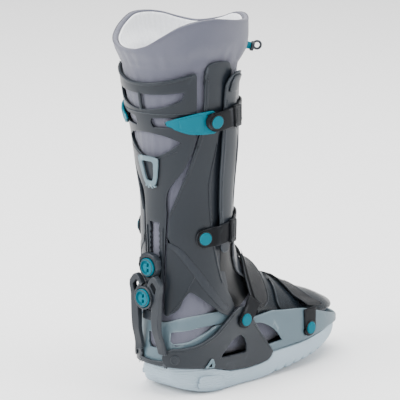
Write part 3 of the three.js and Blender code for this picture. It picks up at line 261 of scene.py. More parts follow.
# Sole: sections across the foot
# share of FOOT_LENGTH from the heel | bottom height, side top height | wider than the shell
# (heights as shares of PIVOT_HEIGHT, the last column in millimetres)
SOLE = [
    [0.012, 0.25, 0.46, -3],
    [0.037, 0.14, 0.445, -2],
    [0.075, 0.07, 0.425, 2],
    [0.16, 0, 0.38, 6],
    [0.25, 0, 0.28, 6],
    [0.34, 0, 0.245, 6],
    [0.41, 0, 0.26, 6],
    [0.455, 0.015, 0.29, 6],
    [0.482, 0.025, 0.385, 6],
    [0.63, 0.085, 0.405, 5],
    [0.75, 0.15, 0.455, 3.6],
    [0.84, 0.225, 0.49, 1.6],
    [0.91, 0.28, 0.47, 0],
    [0.955, 0.32, 0.45, -1],
    [0.98, 0.355, 0.445, -1.5],
]
SOLE_ROWS = np.array(SOLE)
SOLE_X = SOLE_ROWS[:, 0] * FOOT_LENGTH - HEEL_BACK


def sole_top(x):
    return PIVOT_HEIGHT * np.interp(x, SOLE_X, SOLE_ROWS[:, 2])


def on_sole(start, end, lift=FIT):
    """The lower edge of what stands on the sole's rim, between two shares of the wall."""
    shares = np.linspace(start, end, max(4, int(abs(end - start) / 0.012)))
    heights = (sole_top(wall_point(shares, 0)[:, 0]) + lift) / PIVOT_HEIGHT
    return [(a, b) for a, b in zip(shares, heights)]


def mirror(points):
    return [(-a, b) for a, b in points]


def smooth_line(points, counts):
    """Places along a smooth line through the given ones; counts tells the steps of each span."""
    p = np.array(points, float)
    p = np.concatenate([[2 * p[0] - p[1]], p, [2 * p[-1] - p[-2]]])
    line = []
    for i in range(1, len(p) - 2):
        a, b, c, d = p[i - 1:i + 3]
        steps = counts(i - 1)
        for k in range(steps):
            line.append(curve(b, c, (c - a) / 2, (d - b) / 2, k / steps))
    line.append(p[-2])
    return line


def flow(points):
    """A smooth flat line through the given points"""
    return [tuple(q) for q in smooth_line(points, lambda span: FLOW_STEPS)]


def arch(half):
    """A smooth line over the middle, from the left side to the right, from its right half"""
    return flow(mirror(half[1:])[::-1] + half)


def same(points):
    return points


def folded(points):
    """The left side of a course round the leg, whose degrees go on to 360"""
    return [(360 - a, b) for a, b in points]


def spread(points, unit):
    return [(a * unit[0], b * unit[1]) for a, b in points]


LEG_SIDES = (("right", same), ("left", folded))
MIDDLE_SIDES = (("right", same), ("left", mirror))
ON_LEG = (leg_point, LEG_UNIT)
ON_WALL = (wall_point, WALL_UNIT)
ON_TOP = (top_point, TOP_UNIT)
WALL_SIDES = (("right", ON_WALL), ("left", (left_wall_point, WALL_UNIT)))


def both_sides(points):
    return list(points) + mirror(points)[::-1]


def arc(start, corner, end, count):
    return [(1 - t) ** 2 * start + 2 * t * (1 - t) * corner + t * t * end for t in np.linspace(0, 1, count)]


def softened(points, radius):
    """Rounds each corner of a flat outline, as far as its two edges allow."""
    p = np.array(points, float)
    keep = np.linalg.norm(p - np.roll(p, 1, axis=0), axis=1) > SHORTEST_EDGE
    p = p[keep]
    line = []
    for i, here in enumerate(p):
        u = p[i - 1] - here
        v = p[(i + 1) % len(p)] - here
        long_u = np.linalg.norm(u)
        long_v = np.linalg.norm(v)
        u = u / long_u
        v = v / long_v
        turn = math.acos(np.clip(-(u @ v), -1, 1))
        if turn < NEARLY_STRAIGHT:
            line.append(here)
            continue
        reach = min(radius * math.tan(turn / 2), CORNER_SHARE * long_u, CORNER_SHARE * long_v)
        steps = max(2, int(turn / CORNER_TURN) + 1)
        line += arc(here + u * reach, here, here + v * reach, steps + 1)
    return line


# Shader graphs
class Wire:
    """An output socket that takes part in plain arithmetic."""

    def __init__(self, finish, socket):
        self.finish = finish
        self.socket = socket

    def sum_of(self, operation, first, second):
        node = self.finish.tree.nodes.new("ShaderNodeMath")
        node.operation = operation
        self.finish.feed(node.inputs[0], first)
        self.finish.feed(node.inputs[1], second)
        return Wire(self.finish, node.outputs[0])

    def __add__(self, other):
        return self.sum_of("ADD", self, other)

    def __radd__(self, other):
        return self.sum_of("ADD", other, self)

    def __sub__(self, other):
        return self.sum_of("SUBTRACT", self, other)

    def __rsub__(self, other):
        return self.sum_of("SUBTRACT", other, self)

    def __mul__(self, other):
        return self.sum_of("MULTIPLY", self, other)

    def over(self, low, high):
        """0 below the low value, 1 above the high one, smooth between them"""
        node = self.finish.node("ShaderNodeMapRange", {"interpolation_type": "SMOOTHSTEP"}, {
            "Value": self, "From Min": low, "From Max": high,
        })
        return node["Result"]

    def wave(self):
        return self.sum_of("SINE", self, 0.0)


class Finish:
    """A material with its shader and the parts of its graph."""

    def __init__(self, name):
        self.material = bpy.data.materials.new(name)
        self.material.use_nodes = True
        self.tree = self.material.node_tree
        self.shader = self.tree.nodes["Principled BSDF"]

    def feed(self, socket, value):
        if isinstance(value, Wire):
            self.tree.links.new(value.socket, socket)
        else:
            socket.default_value = value

    def node(self, kind, settings=None, values=None):
        node = self.tree.nodes.new(kind)
        for key, value in (settings or {}).items():
            setattr(node, key, value)
        for key, value in (values or {}).items():
            self.feed(node.inputs[key], value)
        return {output.name: Wire(self, output) for output in node.outputs}

    def place(self):
        return self.node("ShaderNodeTexCoord")["Object"]

    def along(self, axis):
        """One coordinate of the piece in metres"""
        return self.node("ShaderNodeSeparateXYZ", None, {"Vector": self.place()})[axis]

    def flat(self, axis):
        """One coordinate of the piece's flat layout in metres"""
        uv = self.node("ShaderNodeUVMap", {"uv_map": "flat"})["UV"]
        return self.node("ShaderNodeSeparateXYZ", None, {"Vector": uv})[axis]

    def noise(self, scale, detail=3.0, roughness=0.55):
        return self.node("ShaderNodeTexNoise", None, {
            "Vector": self.place(), "Scale": scale, "Detail": detail, "Roughness": roughness,
        })["Fac"]

    def blend(self, share, first, second):
        node = self.tree.nodes.new("ShaderNodeMix")
        node.data_type = "RGBA"
        self.feed(node.inputs[0], share)
        self.feed(node.inputs[6], first)
        self.feed(node.inputs[7], second)
        return Wire(self, node.outputs[2])

    def edges(self, low, high):
        """1 on the piece's outer edges, 0 on its faces"""
        return self.node("ShaderNodeNewGeometry")["Pointiness"].over(low, high)

    def set(self, **values):
        names = {"colour": "Base Color", "rough": "Roughness", "coat": "Coat Weight",
                 "sheen": "Sheen Weight", "coat_rough": "Coat Roughness",
                 "sheen_rough": "Sheen Roughness", "level": "Specular IOR Level"}
        for key, value in values.items():
            self.feed(self.shader.inputs[names[key]], value)
        return self

    def bump(self, height, distance, strength=1.0):
        node = self.node("ShaderNodeBump", None, {"Height": height, "Distance": distance,
                                                  "Strength": strength})
        self.feed(self.shader.inputs["Normal"], node["Normal"])
        return self


def tone(red, green, blue, share=1.0):
    """A screen colour from 0 to 255 as the shader's linear colour"""
    linear = [((c / 255 + 0.055) / 1.055) ** 2.4 if c > 10 else c / 255 / 12.92 for c in (red, green, blue)]
    return (*(min(1.0, v * share) for v in linear), 1.0)


def plastic(name, colour, rough, patchy=0.14, rim=0.16, coat=0.0, level=0.28):
    """Moulded plastic: slow changes of tone and gloss, a fine grain, and outer edges painted lighter by rim
    as a painted highlight
    """
    finish = Finish(name)
    broad = finish.noise(22.0)
    fine = finish.noise(1500.0, 2.0)
    scuff = finish.noise(160.0, 5.0, 0.7).over(0.6, 0.78)
    base = finish.blend(broad, tone(*colour, 1 - patchy), tone(*colour, 1 + patchy))
    # painted highlight: the outer edges are blended towards white by rim
    edge_highlight = [c + (255 - c) * rim for c in colour]
    base = finish.blend(finish.edges(0.51, 0.56), base, tone(*edge_highlight))
    finish.set(colour=base, rough=rough + (broad - 0.5) * 0.12 + scuff * 0.1 + (fine - 0.5) * 0.05,
               level=level)
    if coat:
        finish.set(coat=coat, coat_rough=0.2)
    finish.bump(fine * 0.6 + broad * 0.4, PLASTIC_GRAIN, 0.6)
    return finish.material


def rubber(name, colour):
    """Sole rubber with fine level lines on its sides and a dusty grain"""
    finish = Finish(name)
    broad = finish.noise(14.0)
    fine = finish.noise(900.0, 3.0)
    lines = (finish.along("Z") * (2 * math.pi / 0.0031)).wave()
    heel = 1 - finish.along("X").over(-0.075, -0.02)
    base = finish.blend(broad * 0.7 + fine * 0.3, tone(*colour, 0.88), tone(*colour, 1.08))
    dust = finish.noise(60.0, 6.0, 0.7).over(0.58, 0.75)
    base = finish.blend(dust * 0.35, base, tone(*colour, 0.78))
    finish.set(colour=base, rough=0.58 + (broad - 0.5) * 0.15)
    finish.bump(lines * heel * 0.8 + fine * 0.35, 0.00035, 0.7)
    return finish.material


def webbing(name, colour, rough, weave=0.0016, gloss=0.0):
    """Woven strap: ribs across the band and a fine twill"""
    finish = Finish(name)
    u = finish.flat("X")
    v = finish.flat("Y")
    turn = 2 * math.pi / weave
    ribs = ((u + v) * turn).wave() * ((u - v) * turn).wave()
    fine = finish.noise(1100.0, 2.0)
    broad = finish.noise(30.0)
    base = finish.blend(broad, tone(*colour, 0.82), tone(*colour, 1.18))
    base = finish.blend(ribs * 0.25 + 0.25, base, tone(*colour, 0.72))
    finish.set(colour=base, rough=rough + (broad - 0.5) * 0.15, sheen=0.04, sheen_rough=0.5, level=0.15)
    if gloss:
        finish.set(coat=gloss, coat_rough=0.3)
    finish.bump(ribs * 0.6 + fine * 0.6, 0.0003, 0.8)
    return finish.material


def fleece(name, colour, warm):
    """Soft knitted face of the padding: small stitches, fuzz and slow changes of tone"""
    finish = Finish(name)
    broad = finish.noise(16.0, 4.0)
    fuzz = finish.noise(1300.0, 4.0, 0.7)
    u = finish.flat("X")
    v = finish.flat("Y")
    knit = (u * (2 * math.pi / 0.0017)).wave() * (v * (2 * math.pi / 0.0013)).wave()
    base = finish.blend(broad, tone(*colour, 0.86), tone(*warm, 1.08))
    base = finish.blend(fuzz.over(0.45, 0.7) * 0.35, base, tone(*colour, 1.3))
    finish.set(colour=base, rough=0.9 + (fuzz - 0.5) * 0.1, sheen=0.3, sheen_rough=0.5, level=0.25)
    finish.bump(knit * 0.35 + fuzz * 0.8, 0.00045, 0.8)
    return finish.material


def terry(name, colour):
    """Looped towelling with upright ribs"""
    finish = Finish(name)
    broad = finish.noise(20.0, 3.0)
    loops = finish.node("ShaderNodeTexVoronoi", None,
                        {"Vector": finish.place(), "Scale": 620.0})["Distance"]
    ribs = (finish.flat("X") * (2 * math.pi / 0.0062) + broad * 3.0).wave()
    base = finish.blend(broad, tone(*colour, 0.88), tone(*colour, 1.1))
    base = finish.blend(loops * 0.35, base, tone(*colour, 0.8))
    base = finish.blend(ribs * 0.1 + 0.1, base, tone(*colour, 0.78))
    finish.set(colour=base, rough=0.95 - loops * 0.1, sheen=0.4, sheen_rough=0.6, level=0.2)
    finish.bump(loops * -0.6 + ribs * 0.5, 0.0009, 0.8)
    return finish.material


# rim: how much lighter each plastic's outer edges are painted, as a painted highlight
FINISHES = {
    "shell": plastic("shell_plastic", (20, 26, 33), 0.36, rim=0.1, level=0.26),
    "shell_front": plastic("front_plastic", (25, 31, 38), 0.38, rim=0.14, level=0.26),
    "rib": plastic("rib_and_gap_shade_plastic", (27, 32, 39), 0.4, rim=0.02, level=0.26),
    "frame": plastic("frame_plastic", (29, 34, 40), 0.36, rim=0.12, level=0.26),
    "foot_shell": plastic("foot_plastic", (79, 97, 106), 0.42, rim=0.25),
    "sole": rubber("sole_rubber", (148, 166, 178)),
    "teal": plastic("teal_plastic", (0, 92, 108), 0.44, patchy=0.05, rim=0.04, level=0.06),
    "tab": plastic("tab_plastic", (11, 13, 17), 0.4, rim=0.12, level=0.1),
    "strap": webbing("strap_webbing", (22, 24, 28), 0.46, gloss=0.06),
    "guard": plastic("guard_plastic", (32, 36, 42), 0.34, rim=0.25, level=0.26),
    "cover": plastic("cover_plastic", (22, 28, 34), 0.28, coat=0.08, level=0.24),
    "liner": fleece("liner_fleece", (80, 83, 96), (89, 89, 102)),
    "lining": terry("lining_terry", (242, 244, 250)),
    "key": plastic("key_plastic", (88, 108, 117), 0.4, rim=0.2),
    # dark: black plastic of the rack, the knob floors and the washers, also used for sheets of painted
    # shade
    "dark": plastic("rack_and_painted_shade_plastic", (10, 12, 15), 0.36, level=0.2),
    "thread": webbing("seam_thread", (44, 47, 52), 0.7, 0.0009),
}


# Making of pieces
def in_frame(points):
    return (np.asarray(points, float) + SHIFT) / 1000


def read_points(mesh):
    points = np.empty(len(mesh.vertices) * 3)
    mesh.vertices.foreach_get("co", points)
    return points.reshape(-1, 3)


def write_points(mesh, points):
    mesh.vertices.foreach_set("co", np.asarray(points, np.float32).ravel())
    mesh.update()


def keep_flat_layout(piece, layout):
    """Stores where each corner lay on the flat, in metres"""
    mesh = piece.data
    layer = mesh.uv_layers.get("flat") or mesh.uv_layers.new(name="flat")
    corner = np.empty(len(mesh.loops), np.int32)
    mesh.loops.foreach_get("vertex_index", corner)
    layer.data.foreach_set("uv", (layout[corner] / 1000).astype(np.float32).ravel())
    for other in [one for one in mesh.uv_layers if one.name != "flat"]:
        mesh.uv_layers.remove(other)


def finished(piece, finish, nodes=(), body="boot", smooth=38, merge=MERGE):
    """Closes the seams, turns the faces out, shades, colours and registers a piece."""
    bpy.ops.object.select_all(action="DESELECT")
    piece.select_set(True)
    bpy.context.view_layer.objects.active = piece
    bpy.ops.object.mode_set(mode="EDIT")
    bpy.ops.mesh.select_all(action="SELECT")
    bpy.ops.mesh.remove_doubles(threshold=merge)
    bpy.ops.mesh.normals_make_consistent(inside=False)
    bpy.ops.object.mode_set(mode="OBJECT")
    bpy.ops.object.shade_smooth_by_angle(angle=math.radians(smooth))
    piece.data.materials.clear()
    piece.data.materials.append(FINISHES[finish])
    register(piece, nodes, body)
    return piece


def register(piece, nodes=(), body="boot"):
    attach(piece, body)
    if nodes:
        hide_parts(*nodes)


def mirrored(piece, finish, *nodes):
    """The same piece on the boot's left side, with its own mesh and left in its name"""
    twin = piece.copy()
    twin.data = piece.data.copy()
    twin.name = piece.name.replace("_right", "_left")
    bpy.context.collection.objects.link(twin)
    points = read_points(twin.data)
    points[:, 1] = 2 * SHIFT[1] / 1000 - points[:, 1]
    write_points(twin.data, points)
    twin.data.flip_normals()
    register(twin, nodes)
    return twin


def draw_loop(points):
    """Draws a ring of corners out to an outline."""
    bpy.ops.mesh.select_all(action="DESELECT")
    bpy.ops.mesh.primitive_circle_add(vertices=len(points), radius=1, fill_type="NOTHING")
    shape = bmesh.from_edit_mesh(bpy.context.edit_object.data)
    for vert, (x, y) in zip([v for v in shape.verts if v.select], points):
        vert.co = (x, y, 0)
    bmesh.update_edit_mesh(bpy.context.edit_object.data)


def slice_all(low, high, step, axis):
    """Cuts the whole piece on level lines across one axis."""
    for at in np.arange(math.floor(low / step) + 1, math.ceil(high / step)) * step:
        if at < low + CUT_MARGIN or at > high - CUT_MARGIN:
            continue
        place = [0.0, 0.0, 0.0]
        place[axis] = at + CUT_ASIDE
        facing = [0.0, 0.0, 0.0]
        facing[axis] = 1.0
        bpy.ops.mesh.select_all(action="SELECT")
        bpy.ops.mesh.bisect(plane_co=place, plane_no=facing, threshold=0.0001)


def flat_plate(name, loops, thick, edge, step, open_ends):
    """A flat plate from its outline and holes, cut into a grid, given its thickness and rounded edges"""
    bpy.ops.object.select_all(action="DESELECT")
    bpy.ops.mesh.primitive_plane_add(size=1)
    piece = bpy.context.object
    piece.name = name
    bpy.ops.object.mode_set(mode="EDIT")
    bpy.ops.mesh.select_all(action="SELECT")
    bpy.ops.mesh.delete(type="VERT")
    for loop in loops:
        draw_loop(loop)
    bpy.ops.mesh.select_all(action="SELECT")
    bpy.ops.mesh.fill(use_beauty=False)
    bpy.ops.mesh.select_all(action="SELECT")
    bpy.ops.mesh.dissolve_limited(angle_limit=0.001, use_dissolve_boundaries=False)
    outer = np.array(loops[0])
    slice_all(outer[:, 0].min(), outer[:, 0].max(), step[0], 0)
    slice_all(outer[:, 1].min(), outer[:, 1].max(), step[1], 1)
    bpy.ops.mesh.select_all(action="SELECT")
    bpy.ops.mesh.remove_doubles(threshold=GRID_MERGE)
    bpy.ops.mesh.select_all(action="SELECT")
    bpy.ops.mesh.normals_make_consistent(inside=False)
    bpy.ops.mesh.extrude_region_move(TRANSFORM_OT_translate={"value": (0, 0, thick)})
    bpy.ops.mesh.select_all(action="SELECT")
    bpy.ops.mesh.normals_make_consistent(inside=False)
    bpy.ops.mesh.select_all(action="DESELECT")
    bpy.ops.mesh.select_mode(type="EDGE")
    shape = bmesh.from_edit_mesh(piece.data)
    for line in shape.edges:
        if len(line.link_faces) != 2:
            continue
        level = [abs(face.normal.z) > FACE_LEVEL for face in line.link_faces]
        ends = open_ends and all(abs(v.co.x) > open_ends - 0.1 for v in line.verts)
        line.select = level[0] != level[1] and not ends
    bmesh.update_edit_mesh(piece.data)
    if edge:
        bpy.ops.mesh.bevel(offset=edge, offset_type="OFFSET", segments=BEVEL_SEGMENTS, profile=0.5,
                           affect="EDGES", clamp_overlap=False, loop_slide=False)
    if open_ends:
        bpy.ops.mesh.select_mode(type="FACE")
        bpy.ops.mesh.select_all(action="DESELECT")
        shape = bmesh.from_edit_mesh(piece.data)
        for face in shape.faces:
            face.select = all(abs(v.co.x) > open_ends - 0.05 for v in face.verts)
        bmesh.update_edit_mesh(piece.data)
        bpy.ops.mesh.delete(type="FACE")
    bpy.ops.mesh.select_mode(type="VERT")
    bpy.ops.object.mode_set(mode="OBJECT")
    return piece


def laid(name, on, outline, finish, inner, outer, lift=None, nodes=(), holes=(), edge=0.9,
         step=(5.0, 8.0), round_by=2.0, hole_round=1.4, open_ends=None, shape=None, merge=MERGE):
    """A plate with an outline and holes, laid on a curved surface between two distances from it"""
    surface, unit = on
    loops = [softened(spread(outline, unit), round_by)]
    loops += [softened(spread(hole, unit), hole_round) for hole in holes]
    piece = flat_plate(name, loops, outer - inner, edge, step, open_ends)
    flat = read_points(piece.data)
    keep_flat_layout(piece, flat[:, :2])
    a = flat[:, 0] / unit[0]
    b = flat[:, 1] / unit[1]
    rise = inner + flat[:, 2]
    if shape is not None:
        rise = rise + shape(flat[:, 0], flat[:, 1]) * (flat[:, 2] / (outer - inner))
    if lift is not None:
        rise = rise + lift(a, b)
    write_points(piece.data, in_frame(surface(a, b, rise)))
    return finished(piece, finish, nodes, merge=merge)


def draped(name, around, along, course, finish, nodes=(), body="boot", smooth=60):
    """A skin from a square grid: the course turns two shares from 0 to 1 into places and a flat layout."""
    bpy.ops.object.select_all(action="DESELECT")
    bpy.ops.mesh.primitive_grid_add(x_subdivisions=around, y_subdivisions=along, size=2)
    piece = bpy.context.object
    piece.name = name
    grid = read_points(piece.data)
    points, layout = course((grid[:, 0] + 1) / 2, (grid[:, 1] + 1) / 2)
    keep_flat_layout(piece, layout)
    write_points(piece.data, in_frame(points))
    return finished(piece, finish, nodes, body, smooth)


def seat(surface, a, b, out, step=(1.0, 0.004)):
    """Where a small part sits: its Z points out of the surface and its Y along the second coordinate."""
    origin = surface(a, b, out)
    x = surface(a + step[0], b, out) - surface(a - step[0], b, out)
    y = surface(a, b + step[1], out) - surface(a, b - step[1], out)
    x = x / np.linalg.norm(x)
    z = np.cross(x, y / np.linalg.norm(y))
    z = z / np.linalg.norm(z)
    return np.array([x, np.cross(z, x), z, origin])


def seated(points, where):
    return points[:, :1] * where[0] + points[:, 1:2] * where[1] + points[:, 2:3] * where[2] + where[3]


def lathe(name, profile, where, finish, nodes=(), body="boot", around=48, relief=None, smooth=34):
    """A round part from radius and height pairs, with rounded corners"""
    line = np.array(open_softened(profile, 0.5))
    length = length_along(line)
    length /= length[-1]
    fill = np.unique(np.concatenate([length, np.linspace(0, 1, 40 if relief else 2)]))

    def course(u, v):
        at = np.interp(v, np.linspace(0, 1, len(fill)), fill)
        r = np.interp(at, length, line[:, 0])
        h = np.interp(at, length, line[:, 1])
        a = 2 * math.pi * u
        points = np.stack([r * np.cos(a), r * np.sin(a), h], axis=1)
        if relief:
            points[:, 2] += relief(points[:, 0], points[:, 1], h)
        return seated(points, where), np.stack([a * 5, at * 20], axis=1)

    return draped(name, around, len(fill) - 1, course, finish, nodes, body, smooth)


def open_softened(points, radius):
    p = [np.array(q, float) for q in points]
    line = [p[0]]
    for before, here, after in zip(p, p[1:], p[2:]):
        u = before - here
        v = after - here
        reach = min(radius, 0.4 * np.linalg.norm(u), 0.4 * np.linalg.norm(v))
        u = u / np.linalg.norm(u) * reach
        v = v / np.linalg.norm(v) * reach
        line += arc(here + u, here, here + v, 4)
    line.append(p[-1])
    return line


def ridge(name, on, points, width, inner, outer, finish, lift=None):
    """A narrow raised line along a course, thinner at its ends"""
    unit = on[1]
    line = np.array(spread(points, unit))
    along = np.gradient(line, axis=0)
    along /= np.linalg.norm(along, axis=1)[:, None]
    side = np.stack([-along[:, 1], along[:, 0]], axis=1)
    taper = np.minimum(1, 0.35 + np.minimum(np.arange(len(line)), np.arange(len(line))[::-1]) / 4)[:, None]
    edges = np.vstack([line + side * width / 2 * taper, (line - side * width / 2 * taper)[::-1]])
    outline = [(x / unit[0], y / unit[1]) for x, y in edges]
    return laid(name, on, outline, finish, inner, outer, lift, edge=0.5, step=(6.0, 9.0), round_by=0.6)


def stitched(name, on, points, out, pitch=2.6, long=1.7, thick=0.34, lift=None):
    """A row of short thread stitches along a course"""
    surface, unit = on
    line = np.array(spread(points, unit))
    length = length_along(line)
    places = np.arange(pitch / 2, length[-1], pitch)
    bpy.ops.object.select_all(action="DESELECT")
    bpy.ops.mesh.primitive_uv_sphere_add(segments=6, ring_count=4, radius=1)
    piece = bpy.context.object
    piece.name = name
    one = read_points(piece.data) * (long / 2, thick, thick)
    bpy.ops.object.mode_set(mode="EDIT")
    for _ in places[1:]:
        bpy.ops.mesh.select_all(action="DESELECT")
        bpy.ops.mesh.primitive_uv_sphere_add(segments=6, ring_count=4, radius=1)
    bpy.ops.object.mode_set(mode="OBJECT")
    x, y = (np.interp(places, length, line[:, k]) for k in (0, 1))
    nx, ny = (np.interp(places + 0.5, length, line[:, k]) for k in (0, 1))
    px, py = (np.interp(places - 0.5, length, line[:, k]) for k in (0, 1))
    run = np.stack([nx - px, ny - py], axis=1)
    run /= np.linalg.norm(run, axis=1)[:, None]
    flat = []
    for k in range(len(places)):
        flat.append(np.stack([
            x[k] + one[:, 0] * run[k, 0] - one[:, 1] * run[k, 1],
            y[k] + one[:, 0] * run[k, 1] + one[:, 1] * run[k, 0],
            out + one[:, 2],
        ], axis=1))
    flat = np.vstack(flat)
    a = flat[:, 0] / unit[0]
    b = flat[:, 1] / unit[1]
    rise = flat[:, 2] + (lift(a, b) if lift else 0)
    keep_flat_layout(piece, flat[:, :2])
    write_points(piece.data, in_frame(surface(a, b, rise)))
    return finished(piece, "thread", smooth=60, merge=0.000001)


# Foot shell: one wall from toe to toe round the heel, and a floor on the sole
WALL_TOP = (flow([(1.0, 0.53), (0.94, 0.535), (0.9, 0.55), (0.84, 0.635), (0.745, 0.77), (0.64, 0.915),
                  (0.54, 0.975)]) + flow([(0.49, 1.01), (0.42, 0.99), (0.37, 0.96)])
            + flow([(0.31, 1.03), (0.265, 1.18), (0.215, 1.21), (0.111, 1.2), (0.05, 1.13),
                    (0.0, 1.11)]))
HEEL_WINDOW = (
    flow([(0.066, 0.98), (0.12, 1.0), (0.168, 1.02), (0.247, 1.015)])
    + flow([(0.262, 1.0), (0.22, 0.995), (0.19, 0.94), (0.126, 0.84), (0.08, 0.765)])
    + [(0.063, 0.85)]
)
MIDDLE_WINDOW = flow([(0.225, 0.5), (0.235, 0.6), (0.29, 0.78), (0.33, 0.84), (0.365, 0.66),
                      (0.368, 0.47), (0.3, 0.42)])
QUARTER_WINDOW = (
    flow([(0.402, 0.89), (0.44, 0.86), (0.48, 0.77), (0.51, 0.66), (0.532, 0.535)])
    + flow([(0.53, 0.52), (0.46, 0.5), (0.4, 0.5)])
)
HEEL_HOLE = [(-0.012, 0.72), (0.012, 0.72), (0.02, 0.78), (0.02, 0.95), (-0.02, 0.95), (-0.02, 0.78)]


def make_foot_shell():
    top = WALL_TOP[:-1]
    outline = on_sole(-1.0, 1.0) + top + mirror(top)[::-1]
    windows = [HEEL_WINDOW, MIDDLE_WINDOW, QUARTER_WINDOW]
    laid("foot_wall", ON_WALL, outline, "foot_shell", 0.0, SHELL, nodes=("foot_shell",),
         holes=windows + [mirror(one) for one in windows] + [HEEL_HOLE], edge=0.8,
         open_ends=WALL_UNIT[0], round_by=1.6, merge=0.00008)
    low = -HEEL_BACK + 0.02 * FOOT_LENGTH
    high = -HEEL_BACK + 0.972 * FOOT_LENGTH

    def course(u, v):
        x = low + (high - low) * v
        width = half_width(x) + 0.2
        around = np.array([[-1, 0], [1, 0], [1, 1], [-1, 1], [-1, 0]], float)
        at = u * 4
        side = np.interp(at, range(5), around[:, 0])
        over = np.interp(at, range(5), around[:, 1])
        points = np.stack([x, side * width, sole_top(x) + FIT + over * SHELL], axis=1)
        return points, np.stack([x, side * width], axis=1)

    draped("foot_floor", 24, 60, course, "foot_shell")
    lip = flow([(0.067, 0.8), (0.126, 0.825), (0.19, 0.925), (0.225, 0.983)])
    for word, on in WALL_SIDES:
        ridge(f"heel_lip_{word}", on, lip, 2.2, 2.2, 3.9, "foot_shell")


def corners_cut(ring):
    cut = []
    for (y, z), (p, q) in zip(ring, ring[1:] + ring[:1]):
        cut.append((0.75 * y + 0.25 * p, 0.75 * z + 0.25 * q))
        cut.append((0.25 * y + 0.75 * p, 0.25 * z + 0.75 * q))
    return cut


def make_sole():
    def course(u, v):
        x = SOLE_X[0] + (SOLE_X[-1] - SOLE_X[0]) * v
        share = (x + HEEL_BACK) / FOOT_LENGTH
        bottom = PIVOT_HEIGHT * between(SOLE, share, 1)
        top = sole_top(x)
        wider = between(SOLE, share, 3)
        width = np.maximum(half_width(np.maximum(x, 2 - HEEL_BACK)) + wider, 10)
        rise = top - bottom
        one = np.ones_like(x)
        half = [
            (0 * one, bottom), (width - 6, bottom), (width - 1.5, bottom + 0.12 * rise),
            (width, bottom + 0.5 * rise), (width, top - 2.4), (width - 1.2, top), (0 * one, top),
        ]
        ring = half + [(-y, z) for y, z in half[-2:0:-1]]
        ring = corners_cut(corners_cut(ring))
        ys = np.array([y for y, z in ring])
        zs = np.array([z for y, z in ring])
        at = np.minimum((u * len(ring)).round().astype(int), len(ring)) % len(ring)
        pick = np.arange(len(x))
        y = ys[at, pick]
        z = zs[at, pick]
        fore = ease((share - 0.47) / 0.03) * ease((0.83 - share) / 0.05)
        groove = np.clip(np.cos(2 * math.pi * (share - 0.5) * FOOT_LENGTH / TREAD_PITCH) * 2.2 - 1.0, 0, 1)
        low = ease(1 - (z - bottom) / (0.36 * rise))
        z = z + TREAD_DEPTH * 1.1 * groove * fore * low
        y = y * (1 - 0.018 * groove * fore * low)
        near = np.minimum(v, 1 - v) * (SOLE_X[-1] - SOLE_X[0]) / 3.2
        bow = np.sqrt(1 - (1 - np.clip(near, 0, 1)) ** 2)
        y = y * (0.84 + 0.16 * bow)
        z = (bottom + top) / 2 + (z - (bottom + top) / 2) * (0.72 + 0.28 * bow)
        return np.stack([x, -y, z], axis=1), np.stack([x, y + z], axis=1)

    sole = draped("rocker_sole", 48, 300, course, "sole", ("sole",), smooth=50)
    bpy.context.view_layer.objects.active = sole
    sole.select_set(True)
    bpy.ops.object.mode_set(mode="EDIT")
    bpy.ops.mesh.select_mode(type="EDGE")
    bpy.ops.mesh.select_all(action="DESELECT")
    bpy.ops.mesh.select_non_manifold(extend=False)
    bpy.ops.mesh.edge_face_add()
    bpy.ops.mesh.select_mode(type="VERT")
    bpy.ops.mesh.select_all(action="SELECT")
    bpy.ops.mesh.normals_make_consistent(inside=False)
    bpy.ops.object.mode_set(mode="OBJECT")
    clip = [(0.148, 0.12), (0.256, 0.06), (0.25, 0.235), (0.2, 0.28), (0.158, 0.3)]
    mirrored(laid("sole_clip_right", ON_WALL, clip, "sole", 3.4, 7.4, edge=1.0, round_by=6), "sole")


# Ankle frame with its rear band and the dark strip behind the heel
def frame_lift(share, height):
    return 2.8 * ease((height - 0.72) / 0.22)


FRAME_SIDE = (
    on_sole(0.046, 0.468)
    + [(0.482, 0.4), (0.478, 0.43), (0.381, 0.985)]
    + flow([(0.352, 1.17), (0.345, 1.2), (0.33, 1.225), (0.31, 1.215)])
    + flow([(0.287, 1.165), (0.241, 1.013), (0.207, 0.903), (0.15, 0.79), (0.104, 0.757), (0.071, 0.745)])
    + [(0.046, 0.69), (0.04, 0.6)]
)
FRAME_WINDOW = (
    flow([(0.325, 0.79), (0.345, 0.72), (0.356, 0.62)]) + [(0.355, 0.5), (0.24, 0.52)]
    + flow([(0.245, 0.56), (0.284, 0.72)])
)


def make_ankle_frame():
    inner = SHELL + STACK_FIT
    arm = laid("ankle_arm_right", ON_WALL, FRAME_SIDE, "frame", inner, inner + FRAME_WALL, frame_lift,
               nodes=("ankle_frame",), holes=(FRAME_WINDOW,), edge=1.1, round_by=3.4, hole_round=3)
    mirrored(arm, "frame")
    low = on_sole(-0.06, 0.06, FIT + 0.3)
    laid("heel_band", ON_WALL, low + [(0.058, 0.555), (0, 0.54), (-0.058, 0.555)], "frame", inner + 0.3,
         inner + FRAME_WALL - 0.4, edge=1.0)
    courses = {
        "lip": [(0.05, 0.655), (0.071, 0.7), (0.104, 0.712), (0.15, 0.745), (0.207, 0.86), (0.241, 0.97),
                (0.287, 1.12)],
        "rail": [(0.385, 0.9), (0.43, 0.68), (0.468, 0.46)],
    }
    top = inner + FRAME_WALL
    for word, on in WALL_SIDES:
        for label, line in courses.items():
            ridge(f"arm_{label}_{word}", on, flow(line), 1.8, top - 0.6, top + 0.5, "frame", frame_lift)


# Calf shell
def spine_lift(degrees, share):
    return 4 * ease((0.22 - share) / 0.2) * ease((24 - np.abs(degrees)) / 6)


RACK_TOP = 0.344
RACK_BOTTOM = 0.06
